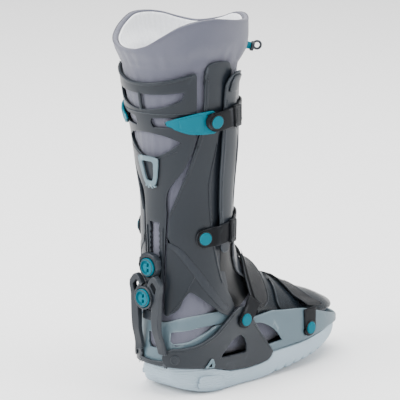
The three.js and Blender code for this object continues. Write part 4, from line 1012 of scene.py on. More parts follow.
# Raised lines: name | right half | how far below it | width, lowest and highest level | finish
BACK_LINES = (
    ("top_lip", [(0, 0.8), (15, 0.802), (35, 0.814), (56, 0.832)], 0.006, 3.0, -0.8, 0.7, "shell"),
    # band_line and crescent_line take the lighter front plastic as a painted highlight along the band's
    # edges
    ("band_line", [(0, 0.701), (12, 0.701), (28, 0.702), (45, 0.705), (58, 0.706)], 0, 1.3, -0.7, 0.4,
     "shell_front"),
    ("crescent_line", [(0, 0.554), (10, 0.559), (22, 0.573), (36, 0.588)], 0.006, 1.3, -0.7, 0.3,
     "shell_front"),
)


def make_calf_shell():
    rack = []
    for i in range(int((RACK_TOP - RACK_BOTTOM) * LEG_RISE / RACK_PITCH)):
        share = RACK_BOTTOM + i * RACK_PITCH / LEG_RISE
        rack += [(RACK_HALF_GAP, share), (RACK_HALF_GAP - RACK_TOOTH, share + RACK_PITCH / 2 / LEG_RISE)]
    rack.append((RACK_HALF_GAP, RACK_TOP))
    rack_slot = rack + mirror(rack)[::-1]
    right = ([(58, 0.834), (60, 0.825), (60.5, 0.753), (59, 0.69), (57, 0.63), (53.5, 0.59)]
             + flow([(49, 0.56), (42, 0.522), (31, 0.484), (22, 0.452), (18.5, 0.42), (18.5, 0.374),
                     (17.5, 0.33)]) + [(16.5, 0.29), (14.5, 0.2), (14, 0.1), (13.5, 0.03)])
    top = arch([(0, 0.8), (15, 0.802), (35, 0.814), (58, 0.834)])
    outline = top + right[1:] + mirror(right[1:])[::-1]
    upper = (
        [(1.6, 0.763)] + flow([(14, 0.7636), (30, 0.767), (47, 0.774)]) + [(48.5, 0.772)]
        + flow([(45, 0.748), (28, 0.727), (12, 0.716), (1.6, 0.714)])
    )
    belt = [(12.5, 0.657), (10.8, 0.663), (10.2, 0.672), (10.8, 0.681), (12.5, 0.687), (44, 0.693),
            (44, 0.661)]
    lower = (
        arch([(0, 0.637), (22, 0.63), (38, 0.613)])
        + mirror(arch([(0, 0.557), (10, 0.561), (22, 0.576), (31, 0.592), (39.5, 0.608)]))
    )
    laid("calf_back", ON_LEG, outline, "shell", -SHELL - 0.2, -0.2, spine_lift, nodes=("calf_shell",),
         holes=[upper, mirror(upper), belt, mirror(belt), lower, rack_slot], edge=0.8, round_by=3,
         hole_round=0.9)
    for name, half, down, width, low, high, finish in BACK_LINES:
        line = [(a, b - down) for a, b in arch(half)]
        ridge(name, ON_LEG, line, width, low, high, finish)
    for word, turn in MIDDLE_SIDES:
        rail = turn(flow([(13.2, 0.33), (11.6, 0.2), (11.2, 0.1), (11, 0.045)]))
        ridge(f"rack_rail_{word}", ON_LEG, rail, 3.0, -0.8, 1.0, "shell", spine_lift)
    laid("rack_bed", ON_LEG, [(-11, 0.05), (-7.6, 0.05), (-7.6, 0.335), (-11, 0.335)], "dark",
         -SHELL - 0.6, -SHELL + 0.6, spine_lift, edge=0.3, step=(4.0, 8.0))
    centre = [(-1.1, 0.712), (1.1, 0.712), (1.1, 0.766), (-1.1, 0.766)]
    laid("centre_post", ON_LEG, centre, "shell_front", -1.2, 0.5, edge=0.5)


SIDE_OUTLINE = (flow([(68, 0.83), (70, 0.856), (80, 0.864), (94, 0.858), (101, 0.83)])
                + [(98, 0.76), (88, 0.66)] + flow([(82.7, 0.621), (74, 0.48), (74, 0.435), (76, 0.37),
                                                   (83, 0.26), (96, 0.14), (103, 0.088)])
                + [(106, 0.05), (104, 0.036), (97, 0.028)] + flow([(91, 0.042), (78, 0.072), (64, 0.1),
                                                                   (52, 0.122), (47, 0.121), (41, 0.1),
                                                                   (36, 0.072), (22, 0.046)])
                + [(18, 0.052), (16.5, 0.1), (17, 0.2),
                   (19, 0.29)] + flow([(20.5, 0.335), (21.5, 0.374), (28, 0.413), (37, 0.467),
                                       (44, 0.506), (53, 0.571), (59.5, 0.629), (66, 0.7),
                                       (68, 0.747)]))
RIB_COURSE = (
    flow([(19.5, 0.288), (38, 0.264), (56, 0.211), (78, 0.134), (99, 0.055)])
    + flow([(93, 0.048), (70, 0.119), (48, 0.196), (33, 0.246), (21, 0.272)])
)
# Raised lines: name | course | width, lowest and highest level | finish
# side_crease takes the lighter front plastic as a painted highlight along the crease
SIDE_LINES = (("side_crease", [(57.5, 0.187), (42.9, 0.117), (34, 0.082), (24, 0.052)], 1.3, -0.7, 0.35,
               "shell_front"), ("side_edge", [(80, 0.6), (71.5, 0.48), (71.5, 0.435), (73.5, 0.37),
                                              (80.5, 0.26), (93, 0.14)], 2.2, -0.8, 0.6, "shell"),
              ("side_back_edge", [(23.5, 0.374), (30, 0.41), (39, 0.462), (46, 0.5), (55, 0.564),
                                  (62, 0.62), (69, 0.7), (71, 0.75), (71, 0.82)], 2.0, -0.8, 0.5,
               "shell"),)


def make_side_shells():
    wing = laid("side_wing_right", ON_LEG, SIDE_OUTLINE, "shell", -SHELL - 0.2, -0.2,
                nodes=("side_shell_right",), edge=0.9, round_by=3)
    mirrored(wing, "shell", "side_shell_left")
    rib = laid("side_rib_right", ON_LEG, RIB_COURSE, "rib", -1.2, 0.6, edge=0.6, round_by=6)
    mirrored(rib, "rib")
    for name, course, width, low, high, finish in SIDE_LINES:
        mirrored(ridge(f"{name}_right", ON_LEG, flow(course), width, low, high, finish), finish)


def make_gap_shade_sheets():
    # painted shade: a dark grey sheet under the gap between the side wing and the front bar, standing in
    # for the shade there
    shade_outline = (
        flow([(66, 0.32), (70, 0.5), (78, 0.66), (84, 0.78)]) + [(100, 0.78)]
        + flow([(100, 0.66), (96, 0.5), (97, 0.32), (103, 0.16), (104, 0.1)]) + [(96, 0.1)]
        + flow([(84, 0.2), (74, 0.27)])
    )
    inner = laid("inner_web_right", ON_LEG, shade_outline, "rib", -SHELL - 1.5, -SHELL - 0.5, edge=0.3, round_by=3)
    mirrored(inner, "rib")


def front_lift(degrees, share):
    degrees = np.where(degrees > 180, 360 - degrees, degrees)
    from_bar = 3.8 * ease((118 - np.abs(degrees)) / 12)
    flare = 3 * ease((share - 0.77) / 0.05) * ease((128 - np.abs(degrees)) / 14)
    return from_bar + flare


def strap_lift(degrees, share):
    return front_lift(degrees, np.minimum(share, 0.7))


def make_front_shell():
    right = (
        flow([(180, 0.8), (150, 0.792), (128, 0.776)])
        + flow([(121, 0.775), (119, 0.806), (111, 0.824), (101, 0.826), (93, 0.81), (90, 0.79)])
        + [(89, 0.72), (84.5, 0.6), (83, 0.5), (84, 0.4), (87, 0.3)]
        + flow([(88.5, 0.256), (92, 0.243), (99, 0.243), (103, 0.256)])
        + flow([(112, 0.29), (140, 0.315), (180, 0.325)])
    )
    outline = right + folded(right[1:-1])[::-1]
    leaf = flow([(112, 0.62), (121, 0.6), (128, 0.53), (127, 0.45), (120, 0.385), (113, 0.45),
                 (110, 0.54), (112, 0.62)])[:-1]
    laid("front_plate", ON_LEG, outline, "shell_front", -SHELL, 0.0, front_lift, nodes=("front_shell",),
         holes=(leaf, folded(leaf)), edge=1.0, round_by=4, hole_round=3)
    for word, turn in LEG_SIDES:
        # painted shade: a black sheet behind each leaf window, standing in for the shade seen through it
        back = turn([(108, 0.37), (130, 0.37), (132, 0.63), (108, 0.63)])
        laid(f"leaf_back_{word}", ON_LEG, back, "dark", -SHELL - 0.9, -SHELL + 0.1, front_lift,
             edge=0.3, round_by=3)
        cap = flow([(95, 0.79), (97, 0.812), (104, 0.817), (111, 0.812), (115, 0.795)])
        cap = turn(cap + [(114, 0.762), (94, 0.762)])
        laid(f"bar_dome_{word}", ON_LEG, cap, "shell_front", -0.8, 1.3, front_lift, edge=0.8, round_by=5)
        rim = turn(flow([(92.5, 0.74), (88.5, 0.62), (86.5, 0.5), (87.5, 0.4), (91, 0.3)]))
        ridge(f"bar_edge_{word}", ON_LEG, rim, 2.0, -0.8, 0.6, "shell_front", front_lift)


# Rivets and what they hold
TAB_TOP = STACK_FIT + SHELL + STACK_FIT + TAB
LEG_RIVETS = {"calf": (77, 0.676, TAB_TOP + FIT), "shin": (66, 0.298, TAB + 2 * FIT)}
WALL_RIVETS = {"ankle": (0.336, 1.025, 13.4), "toe": (0.664, 0.6, SHELL + FIT + TAB + FIT)}


def shin_tab_lift(degrees, share):
    return FIT + 3.8 * ease((np.abs(degrees) - 75) / 8)


def round_strip(unit, centre, radius, far, slope):
    points = []
    for i in range(17):
        a = math.pi / 2 + math.pi * i / 16
        x = centre[0] + radius * math.cos(a) / unit[0]
        points.append((x, centre[1] + radius * math.sin(a) / unit[1]))
    end = centre[1] + slope
    return points + [(far, end - radius / unit[1]), (far, end + radius / unit[1])]


def turned_tab(points, turn, centre):
    made = []
    for a, b in points:
        x = a * WALL_UNIT[0]
        y = b * WALL_UNIT[1]
        along = centre[0] + (x * math.cos(turn) - y * math.sin(turn)) / WALL_UNIT[0]
        made.append((along, centre[1] + (x * math.sin(turn) + y * math.cos(turn)) / WALL_UNIT[1]))
    return made


def make_tabs():
    calf = round_strip(LEG_UNIT, LEG_RIVETS["calf"], TAB_RADIUS, 98, 0.008)
    shin = round_strip(LEG_UNIT, LEG_RIVETS["shin"], TAB_RADIUS, 98, 0.012)
    ankle = turned_tab(round_strip(WALL_UNIT, (0, 0), 10.5, 0.075, 0), 0.95, WALL_RIVETS["ankle"])
    toe = turned_tab(round_strip(WALL_UNIT, (0, 0), 10.2, 0.07, 0), math.pi / 2, WALL_RIVETS["toe"])
    seats = (
        ("calf", ON_LEG, calf, TAB_TOP - TAB, TAB_TOP, None),
        ("shin", ON_LEG, shin, 0.0, TAB, shin_tab_lift),
        ("ankle", ON_WALL, ankle, 10.4, 10.4 + TAB, None),
        ("toe", ON_WALL, toe, SHELL + FIT, SHELL + FIT + TAB, None),
    )
    for place, on, outline, inner, outer, lift in seats:
        tab = laid(f"{place}_tab_right", on, outline, "tab", inner, outer, lift,
                   nodes=(f"tab_{place}_right",), step=(3.0, 5.0), round_by=1.5)
        mirrored(tab, "tab", f"tab_{place}_left")


def make_rivets():
    seats = {}
    for place, (a, b, out) in LEG_RIVETS.items():
        seats[place] = seat(leg_point, a, b, out)
    for place, (a, b, out) in WALL_RIVETS.items():
        seats[place] = seat(wall_point, a, b, out, (0.004, 0.02))
    r = RIVET_RADIUS
    profile = [(0.0, -0.3), (r, -0.3), (r, 0.5 * RIVET_CAP), (0.86 * r, 0.92 * RIVET_CAP),
               (0.6 * r, RIVET_CAP), (0.0, RIVET_CAP)]
    for place, where in seats.items():
        cap = lathe(f"{place}_rivet_right", profile, where, "teal", (f"rivet_{place}_right",))
        mirrored(cap, "teal", f"rivet_{place}_left")
        skirt = [(r - 0.2, -0.2), (r + 1.1, -0.2), (r + 1.1, 0.35), (r - 0.2, 0.35)]
        mirrored(lathe(f"{place}_washer_right", skirt, where, "dark"), "dark")


def make_levers():
    outline = (
        [(27, 0.675), (29, 0.682), (34, 0.686)] + flow([(37, 0.69), (48, 0.699), (60, 0.707), (75, 0.712)])
        + [(81, 0.7), (84, 0.676), (81, 0.65)] + flow([(75, 0.637), (60, 0.637), (48, 0.641), (36, 0.654)])
        + [(33, 0.662), (29, 0.666)]
    )

    def crown(x, y):
        return -0.7 * ease((47 - x) / 16)

    lever = laid("lever_right", ON_LEG, outline, "teal", STACK_FIT, STACK_FIT + SHELL,
                 nodes=("tension_lever_right",), edge=0.8, step=(3.0, 3.0), round_by=3.5, shape=crown)
    mirrored(lever, "teal", "tension_lever_left")
    plate = flow([(41, 0.688), (50, 0.694), (62, 0.7)]) + [(64, 0.69), (64, 0.655)]
    plate += flow([(62, 0.646), (50, 0.65), (41, 0.66)])
    mirrored(laid("lever_plate_right", ON_LEG, plate, "teal", 3.2, 4.4, edge=0.35, round_by=4), "teal")


# Straps
def leg_strap(name, node, centre, slope, width, droop):
    half = width / 2 / LEG_RISE
    start = 98.5
    course = np.linspace(start, 180, 16)
    line = [(a, centre + slope + droop * float(ease((a - start) / 60))) for a in course]
    whole = line + folded(line[:-1])[::-1]
    outline = [(a, b - half) for a, b in whole] + [(a, b + half) for a, b in whole[::-1]]
    low = 1.4 * STACK_FIT
    laid(name, ON_LEG, outline, "strap", low, low + STRAP, strap_lift, nodes=(node,), edge=0.5, round_by=1)
    b = line[0][1]
    for word, turn in LEG_SIDES:
        fold = turn([(start - 0.6, b - half * 1.01), (start + 11, b - half * 0.98),
                     (start + 11, b + half * 0.98), (start - 0.6, b + half * 1.01)])
        laid(f"{name}_fold_{word}", ON_LEG, fold, "strap", low + 0.6 * STRAP, low + 2.2 * STRAP,
             strap_lift, edge=1.1, round_by=2)
        for k in (2.4, 8.6):
            seam = turn([(start + k, b - half * 0.82), (start + k, b + half * 0.82)])
            stitched(f"{name}_seam_{word}_{int(k)}", ON_LEG, seam, low + 2.2 * STRAP, lift=strap_lift)
    for word, sign in (("upper", 1), ("lower", -1)):
        edge = [(a, c + sign * half * 0.84) for a, c in whole[3:-3]]
        stitched(f"{name}_hem_{word}", ON_LEG, edge, low + STRAP, 3.0, 1.9, 0.26, strap_lift)


def toe_lift(degrees, share):
    return 5 * ease((np.abs(degrees) - 46) / 16)


def make_straps():
    leg_strap("calf_strap", "strap_calf", LEG_RIVETS["calf"][1], 0.008, CALF_STRAP_WIDTH, 0)
    leg_strap("shin_strap", "strap_shin", LEG_RIVETS["shin"][1], 0.012, SHIN_STRAP_WIDTH, 0.012)
    seat_out = GUARD_SEAT + SHELL + 1.8 * STACK_FIT
    upper = flow([(0, 0.225), (25, 0.24), (48, 0.29), (64, 0.34), (74, 0.37)])
    lower = flow([(78, 0.43), (66, 0.445), (50, 0.42), (25, 0.38), (0, 0.36)])
    laid("instep_strap", ON_TOP, both_sides((upper + lower)[1:-1]), "strap", seat_out, seat_out + STRAP,
         nodes=("strap_instep",), edge=0.7, round_by=4)
    highlight_ridge = flow([(0, 0.25), (25, 0.262), (48, 0.307), (62, 0.352), (70, 0.385), (68, 0.425)])
    stitched("instep_hem", ON_TOP, highlight_ridge, seat_out + STRAP, 3.0, 1.9, 0.3)
    stitched("instep_hem_left", ON_TOP, mirror(highlight_ridge), seat_out + STRAP, 3.0, 1.9, 0.3)
    fold = flow([(30, 0.262), (50, 0.31), (64, 0.352), (72, 0.378)])
    fold += flow([(75, 0.42), (66, 0.432), (52, 0.41), (32, 0.372)])
    for word, turn in MIDDLE_SIDES:
        laid(f"instep_fold_{word}", ON_TOP, turn(fold), "strap", seat_out + STRAP - 0.6,
             seat_out + STRAP + 1.7, edge=0.9, round_by=4)
        # painted highlight: raised lines along the strap's edges in the lighter guard plastic
        for label, course in (("front", lower), ("rear", upper)):
            ridge(f"instep_{label}_hem_{word}", ON_TOP, turn(course[1:-1]), 1.5, seat_out + STRAP - 0.5,
                  seat_out + STRAP + 0.5, "guard")
    out = COVER_SEAT + SHELL + STACK_FIT
    toe_upper = flow([(0, 0.525), (30, 0.55), (54, 0.6), (64, 0.635)])
    toe_lower = flow([(64, 0.725), (54, 0.71), (30, 0.65), (0, 0.62)])
    laid("toe_strap", ON_TOP, both_sides((toe_upper + toe_lower)[1:-1]), "strap", out, out + STRAP,
         toe_lift, nodes=("strap_toe",), edge=0.6, round_by=2)
    for word, turn in MIDDLE_SIDES:
        # painted highlight: raised lines along the strap's edges in the lighter guard plastic
        for label, course in (("front", toe_lower), ("rear", toe_upper)):
            ridge(f"toe_{label}_hem_{word}", ON_TOP, turn(course[1:-1]), 1.4, out + STRAP - 0.5,
                  out + STRAP + 0.4, "guard", toe_lift)


def make_foot_covers():
    guard = (flow([(0, 0.125), (30, 0.12), (47, 0.125), (55, 0.15)])
             + flow([(60, 0.2), (56, 0.3), (42, 0.42), (20, 0.46), (0, 0.465)]))
    under = [(20, 0.06), (86, 0.06), (90, 0.2), (89, 0.36), (20, 0.4)]
    # painted shade: a black sheet under the instep plate and straps, standing in for the shade in the gap
    # there
    mirrored(laid("inner_tongue_right", ON_TOP, under, "dark", -1.0, 0.1, edge=0.2, round_by=4), "dark")
    rear = (
        flow([(0, 0.4), (40, 0.4), (70, 0.42), (86, 0.44)]) + flow([(87, 0.5), (84, 0.58), (78, 0.62)])
        + flow([(60, 0.6), (30, 0.56), (0, 0.54)])
    )
    laid("cover_rear", ON_TOP, both_sides(rear[1:-1]), "cover", -0.4, 1.2, edge=0.5, round_by=4)
    slit = flow([(22, 0.155), (30, 0.18), (24, 0.26), (30, 0.34), (24, 0.37), (17, 0.3), (20, 0.22),
                 (16, 0.18), (22, 0.155)])[:-1]
    laid("instep_plate", ON_TOP, both_sides(guard[1:-1]), "guard", GUARD_SEAT, GUARD_SEAT + SHELL,
         nodes=("instep_guard",), holes=(slit, mirror(slit)), edge=1.1, round_by=3)
    cover = (flow([(0, 0.49), (30, 0.49), (60, 0.5), (74, 0.53)])
             + flow([(76, 0.62), (74, 0.74), (66, 0.86), (40, 0.93), (0, 0.95)]))
    laid("forefoot_shield", ON_TOP, both_sides(cover[1:-1]), "cover", COVER_SEAT, COVER_SEAT + SHELL,
         nodes=("forefoot_cover",), edge=1.2, round_by=4)


# Liner
RIM = [
    [0, 0.902], [15, 0.919], [30, 0.95], [45, 0.98], [60, 0.996], [75, 1], [90, 0.993], [105, 0.984],
    [120, 0.978], [135, 0.976], [150, 0.98], [165, 0.976], [180, 0.958], [195, 0.944], [210, 0.937],
    [225, 0.947], [240, 0.964], [255, 0.972], [270, 0.97], [285, 0.948], [300, 0.926], [315, 0.912],
    [330, 0.902], [345, 0.899], [360, 0.902],
]
# Sections that turn from level at the shin to upright at the toe
# front x, z | middle x, z | back x, z | half width
# (x of the first four back points as shares of CALF_DEPTH, other x as shares of FOOT_LENGTH,
# z as shares of PIVOT_HEIGHT, width as a share of BALL_WIDTH)
FAN = [
    [0.161, 2.3, -0.004, 2.22, -0.645, 2.1, 0.92],
    [0.173, 2.04, 0.003, 1.83, -0.65, 1.55, 0.87],
    [0.214, 1.8, 0.031, 1.43, -0.67, 1.08, 0.82],
    [0.256, 1.66, 0.092, 1.12, -0.66, 0.72, 0.8],
    [0.336, 1.5, 0.173, 0.93, -0.122, 0.52, 0.78],
    [0.427, 1.27, 0.315, 0.75, 0.203, 0.4, 0.82],
    [0.539, 1.06, 0.468, 0.71, 0.417, 0.49, 0.85],
    [0.661, 0.89, 0.61, 0.67, 0.58, 0.53, 0.78],
    [0.747, 0.76, 0.702, 0.65, 0.676, 0.55, 0.6],
    [0.798, 0.71, 0.758, 0.64, 0.742, 0.57, 0.38],
]
AROUND = 144
TURNS = np.linspace(0, 360, AROUND + 1)


# Shares of the leg's rise: the shells' top band, the upright part's low end and the terry's ends
BAND_TOP = 0.84
UPRIGHT_TOP = 0.835
UPRIGHT_LOW = 0.35
TERRY_BAND = 0.83
TERRY_LOW = 0.6


def rim(degrees):
    return between(RIM, np.mod(degrees, 360), 1)


def below_rim(t):
    """The share of the rise at t, which is 1 on the rim and 0 at the shells' top band"""
    return BAND_TOP + (rim(TURNS) - BAND_TOP) * t


def liner_out(share, degrees):
    side = ease((40 - np.abs(np.abs(np.mod(degrees + 180, 360) - 180) - 82)) / 20)
    return -(SHELL + SOFT_FIT) * (1 - ease((share - UPRIGHT_TOP - 0.035 * side) / 0.06))


def puckers(share, degrees):
    """Small upright folds where the padding swells over the band's top edge, and slow waves above them"""
    a = np.radians(degrees)
    near = ease((share - UPRIGHT_TOP) / 0.02) * ease((0.925 - share) / 0.05)
    folds = np.sin(23 * a + 2.1 * np.sin(3 * a)) * 0.6 + np.sin(37 * a + 1.3) * 0.3
    return near * (0.6 * folds + 1.0) + ease((share - 0.86) / 0.05) * 0.6 * np.sin(5 * a + 9 * share)


def creases(share, degrees):
    """Upright wrinkles of the padding behind the shells' windows, clear of the shells' inside"""
    a = np.radians(degrees)
    low = ease((TERRY_BAND - share) / 0.02)
    waves = np.sin(31 * a + 3 * np.sin(7 * share) + 1.7 * np.sin(2 * a)) * 0.5
    waves = waves + np.sin(17 * a - 11 * share) * 0.5
    return low * (0.55 * waves - 0.1)


def liner_rings(inset):
    above = [(t, below_rim(t)) for t in np.linspace(1, 0.02, 26)]
    rings = []
    for t, share in above:
        bulge = puckers(share, TURNS) * (inset == 0) * min(1.0, (1 - t) * 6)
        rings.append(leg_point(TURNS, share, liner_out(share, TURNS) - inset + bulge))
    for share in np.linspace(UPRIGHT_TOP, UPRIGHT_LOW, 46):
        rings.append(leg_point(TURNS, share, liner_out(share, TURNS) - inset + creases(share, TURNS)))
    for number, (fx, fz, mx, mz, bx, bz, w) in enumerate(FAN):
        middle = np.array([mx * FOOT_LENGTH, 0, mz * PIVOT_HEIGHT])
        front = np.array([fx * FOOT_LENGTH, 0, fz * PIVOT_HEIGHT]) - middle
        back = np.array([bx * (CALF_DEPTH if number < 4 else FOOT_LENGTH), 0, bz * PIVOT_HEIGHT]) - middle
        front *= max(np.linalg.norm(front) - inset, 2) / np.linalg.norm(front)
        back *= max(np.linalg.norm(back) - inset, 2) / np.linalg.norm(back)
        low = 2.4 * ease((number - 0.5) / 1.5) if inset == 0 else 0.0
        front *= (np.linalg.norm(front) - low) / np.linalg.norm(front)
        c = np.cos(np.radians(TURNS))
        s = np.sin(np.radians(TURNS))
        strong = ease(number / 3) * ease((9.5 - number) / 3)
        full = 1 - np.where(c > 0, 0.5, 0.2) * strong
        ring = middle + (np.abs(c) ** full)[:, None] * np.where((c > 0)[:, None], back, front)
        folds = 0.7 * np.sin(9 * np.radians(TURNS) + 1.3 * number) * s * s if inset == 0 else 0.0
        ring[:, 1] = -(w * BALL_WIDTH - inset - 0.8 + folds) * np.sign(s) * np.abs(s) ** full
        rings.append(ring)
    return rings


def skin(name, rings, finish, nodes=()):
    rings = np.array(rings)

    def course(u, v):
        i = np.rint(u * AROUND).astype(int)
        j = np.rint(v * (len(rings) - 1)).astype(int)
        points = rings[j, i]
        return points, np.stack([TURNS[i] * 1.15, points[:, 2] + points[:, 0] * 0.5], axis=1)

    return draped(name, AROUND, len(rings) - 1, course, finish, nodes, smooth=80)


def make_liner():
    outside = liner_rings(0)
    inside = liner_rings(LINER_WALL)
    roll = []
    for t in np.linspace(0, 1, 9)[1:-1]:
        a = math.pi * t
        level = rim(TURNS) - 0.008 + 0.0085 * math.sin(a)
        out = -LINER_WALL / 2 + (LINER_WALL / 2 + 0.7) * math.cos(math.pi - a)
        roll.append(leg_point(TURNS, level, out))
    fan_start = len(outside) - len(FAN)
    steps = lambda span: 5 if span >= fan_start - 1 else 1
    outer = smooth_line(outside, steps)
    inner = smooth_line(inside[:-1], steps)
    tip = outer[-1]
    middle = tip.mean(axis=0)
    nose = []
    for t in (0.5, 0.8, 0.95, 1.0):
        forward = np.array([0.012 * FOOT_LENGTH, 0, 0.01 * PIVOT_HEIGHT]) * math.sin(t * math.pi / 2) * 1.6
        nose.append((tip - middle) * math.cos(t * math.pi / 2 * 0.999) + middle + forward)
    pit = inner[-1].mean(axis=0) + (inner[-1] - inner[-1].mean(axis=0)) * 0.01
    rings = [pit] + inner[::-1] + roll + outer + nose
    sock = skin("padded_liner", rings, "liner", ("liner",))

    def ring(t, inset):
        return level_ring(below_rim(t), inset)

    def level_ring(share, inset):
        return leg_point(TURNS, share, liner_out(share, TURNS) - inset)

    def towelled(ring):
        away = ring - ring.mean(axis=0)
        return ring - ribs * away / np.linalg.norm(away, axis=1)[:, None]

    face = LINER_WALL + STACK_FIT
    tops = [ring(t, face + LINING) for t in np.linspace(0.955, 0.02, 20)]
    lows = [level_ring(s, face + LINING) for s in np.linspace(TERRY_BAND, TERRY_LOW, 20)]
    ribs = 0.35 * np.sin(np.radians(TURNS) * 42)[:, None]
    towel = [towelled(one) for one in tops + lows]
    behind = [ring(t, face) for t in np.linspace(0.955, 0.02, 6)]
    behind += [level_ring(s, face) for s in np.linspace(TERRY_BAND, TERRY_LOW, 8)]
    crest = [ring(0.965, face + LINING * k) for k in (0.2, 0.8)]
    closed = behind[::-1] + crest + towel + [behind[-1]]
    skin("terry_lining", closed, "lining", ("lining",))


# Heel adjuster
def rack_face(share):
    return -float(leg_point(0, share, -0.2 + spine_lift(0, share))[..., 0])


UPPER_Z = up(0.204)
LOWER_Z = up(0.109)
HOUSING_BACK = rack_face(0.15) + STACK_FIT
KNOB_SEAT = 2.4
YOKE_STEP = rack_face(0.035) + STACK_FIT - HOUSING_BACK
ARM_END = 0.66 * PIVOT_HEIGHT


def flat_back(a, b, out=0.0):
    a, b, out = np.broadcast_arrays(a, b, out)
    return np.stack([-(HOUSING_BACK + out), -a, b], axis=-1).astype(float)


def yoke_back(a, b, out=0.0):
    a, b, out = np.broadcast_arrays(a, b, out)
    depth = HOUSING_BACK + YOKE_STEP - 6 * ease((LOWER_Z - 34 - b) / 30)
    thin = 1 - 0.3 * ease((LOWER_Z - 20 - b) / 40)
    return np.stack([-(depth + out * thin), -a, b], axis=-1).astype(float)


ON_BACK = (flat_back, FLAT_UNIT)
ON_YOKE = (yoke_back, FLAT_UNIT)
RING_CORNERS = 40
ARC_RADIUS = 6.2
ARC_DEPTH = 2.4
SLOT_DEPTH = 3.2


def ring_outline(radius, z):
    turns = [2 * math.pi * k / RING_CORNERS for k in range(RING_CORNERS)]
    return [(radius * math.cos(a), z + radius * math.sin(a)) for a in turns]


def make_adjuster():
    half = [(3, UPPER_Z - 16.5), (11, UPPER_Z - 8), (14.4, UPPER_Z), (13.5, UPPER_Z + 9)]
    crown = flow([(9, UPPER_Z + 14.5), (0, UPPER_Z + 16), (-9, UPPER_Z + 14.5)])
    slide = half + crown + mirror(half)[::-1]
    bore = KNOB_RADIUS + KNOB_CLEARANCE
    laid("slide_housing", ON_BACK, slide, "shell", 0.0, HOUSING_DEPTH, nodes=("slider_upper",),
         holes=(ring_outline(bore, UPPER_Z),), edge=1.6, step=(4, 4), round_by=2.5, hole_round=0.2)
    laid("slide_floor", ON_BACK, ring_outline(bore + 0.6, UPPER_Z), "dark", 0.4,
         HOUSING_DEPTH - KNOB_SEAT, edge=0.2, step=(6, 6), round_by=0.2)
    right = ([(3.5, LOWER_Z + 14.5), (8, LOWER_Z + 22), (13.5, LOWER_Z + 26.5), (18, LOWER_Z + 24)]
             + [(23.2, LOWER_Z + 17), (23.4, LOWER_Z + 11)]
             + flow([(21.5, LOWER_Z + 2), (21, LOWER_Z - 18), (20.5, LOWER_Z - 40), (22.5, ARM_END + 6),
                     (23.2, ARM_END)]) + [(13.0, ARM_END)]
             + flow([(11.6, ARM_END + 8), (9.8, LOWER_Z - 30), (10.4, LOWER_Z - 14)])
             + [(10.4, LOWER_Z - 9)])
    beside_boss = [(12.2, LOWER_Z - 4), (12.4, LOWER_Z + 3), (10, LOWER_Z + 9), (6, LOWER_Z + 12.6)]
    eyelet = [(8.8, LOWER_Z + 15.4), (12.5, LOWER_Z + 19.5), (18, LOWER_Z + 13), (15.4, LOWER_Z + 4.5)]
    arm = laid("yoke_arm_right", ON_YOKE, right + beside_boss, "frame", 0.0, YOKE_DEPTH - 2.6,
               nodes=("yoke",), holes=(eyelet,), edge=0.9, step=(4, 5), round_by=3.5, hole_round=1.6)
    mirrored(arm, "frame")
    laid("yoke_boss", ON_BACK, ring_outline(KNOB_RADIUS + 3, LOWER_Z), "frame", YOKE_STEP + 0.4,
         YOKE_STEP + YOKE_DEPTH, holes=(ring_outline(bore, LOWER_Z),), edge=0.8, step=(6, 6),
         round_by=0.2, hole_round=0.2)
    laid("yoke_floor", ON_BACK, ring_outline(bore + 0.6, LOWER_Z), "dark", YOKE_STEP + 0.4,
         YOKE_STEP + YOKE_DEPTH - KNOB_SEAT, edge=0.2, step=(6, 6), round_by=0.2)
    profile = [(0.0, 0.0), (KNOB_RADIUS, 0.0), (KNOB_RADIUS, KNOB_HEIGHT - 1),
               (KNOB_RADIUS - 1, KNOB_HEIGHT), (0.0, KNOB_HEIGHT)]
    low, high = KNOB_HEIGHT - 0.5, KNOB_HEIGHT + 0.25
    near, far = KNOB_RADIUS - 1.9, KNOB_RADIUS - 0.9
    collar = [(near, low), (near, high), (far, high), (far, low)]

    def relief(x, y, height):
        front = ease((height - KNOB_HEIGHT + 0.4) / 0.3)
        radius = np.hypot(x, y)
        angle = np.abs(np.degrees(np.arctan2(y, -x)))
        groove = ease((1.5 - np.abs(radius - ARC_RADIUS)) / 0.5) * ease((100 - angle) / 10)
        slots = np.zeros_like(x)
        for s in (-1, 1):
            one = ease((1.5 - np.abs(x - 2.4)) / 0.5) * ease((2.1 - np.abs(y - s * 3.1)) / 0.5)
            slots = np.maximum(slots, one)
        return -front * (ARC_DEPTH * groove + SLOT_DEPTH * slots)

    for name, z, face in (("knob_upper", UPPER_Z, HOUSING_DEPTH),
                          ("knob_lower", LOWER_Z, YOKE_STEP + YOKE_DEPTH)):
        where = seat(flat_back, 0, z, face - KNOB_SEAT + FIT, (1, 1))
        lathe(f"{name}_cap", profile, where, "teal", (name,), name, 96, relief, 50)
        lathe(f"{name}_collar", collar, where, "frame", (), name, 96)


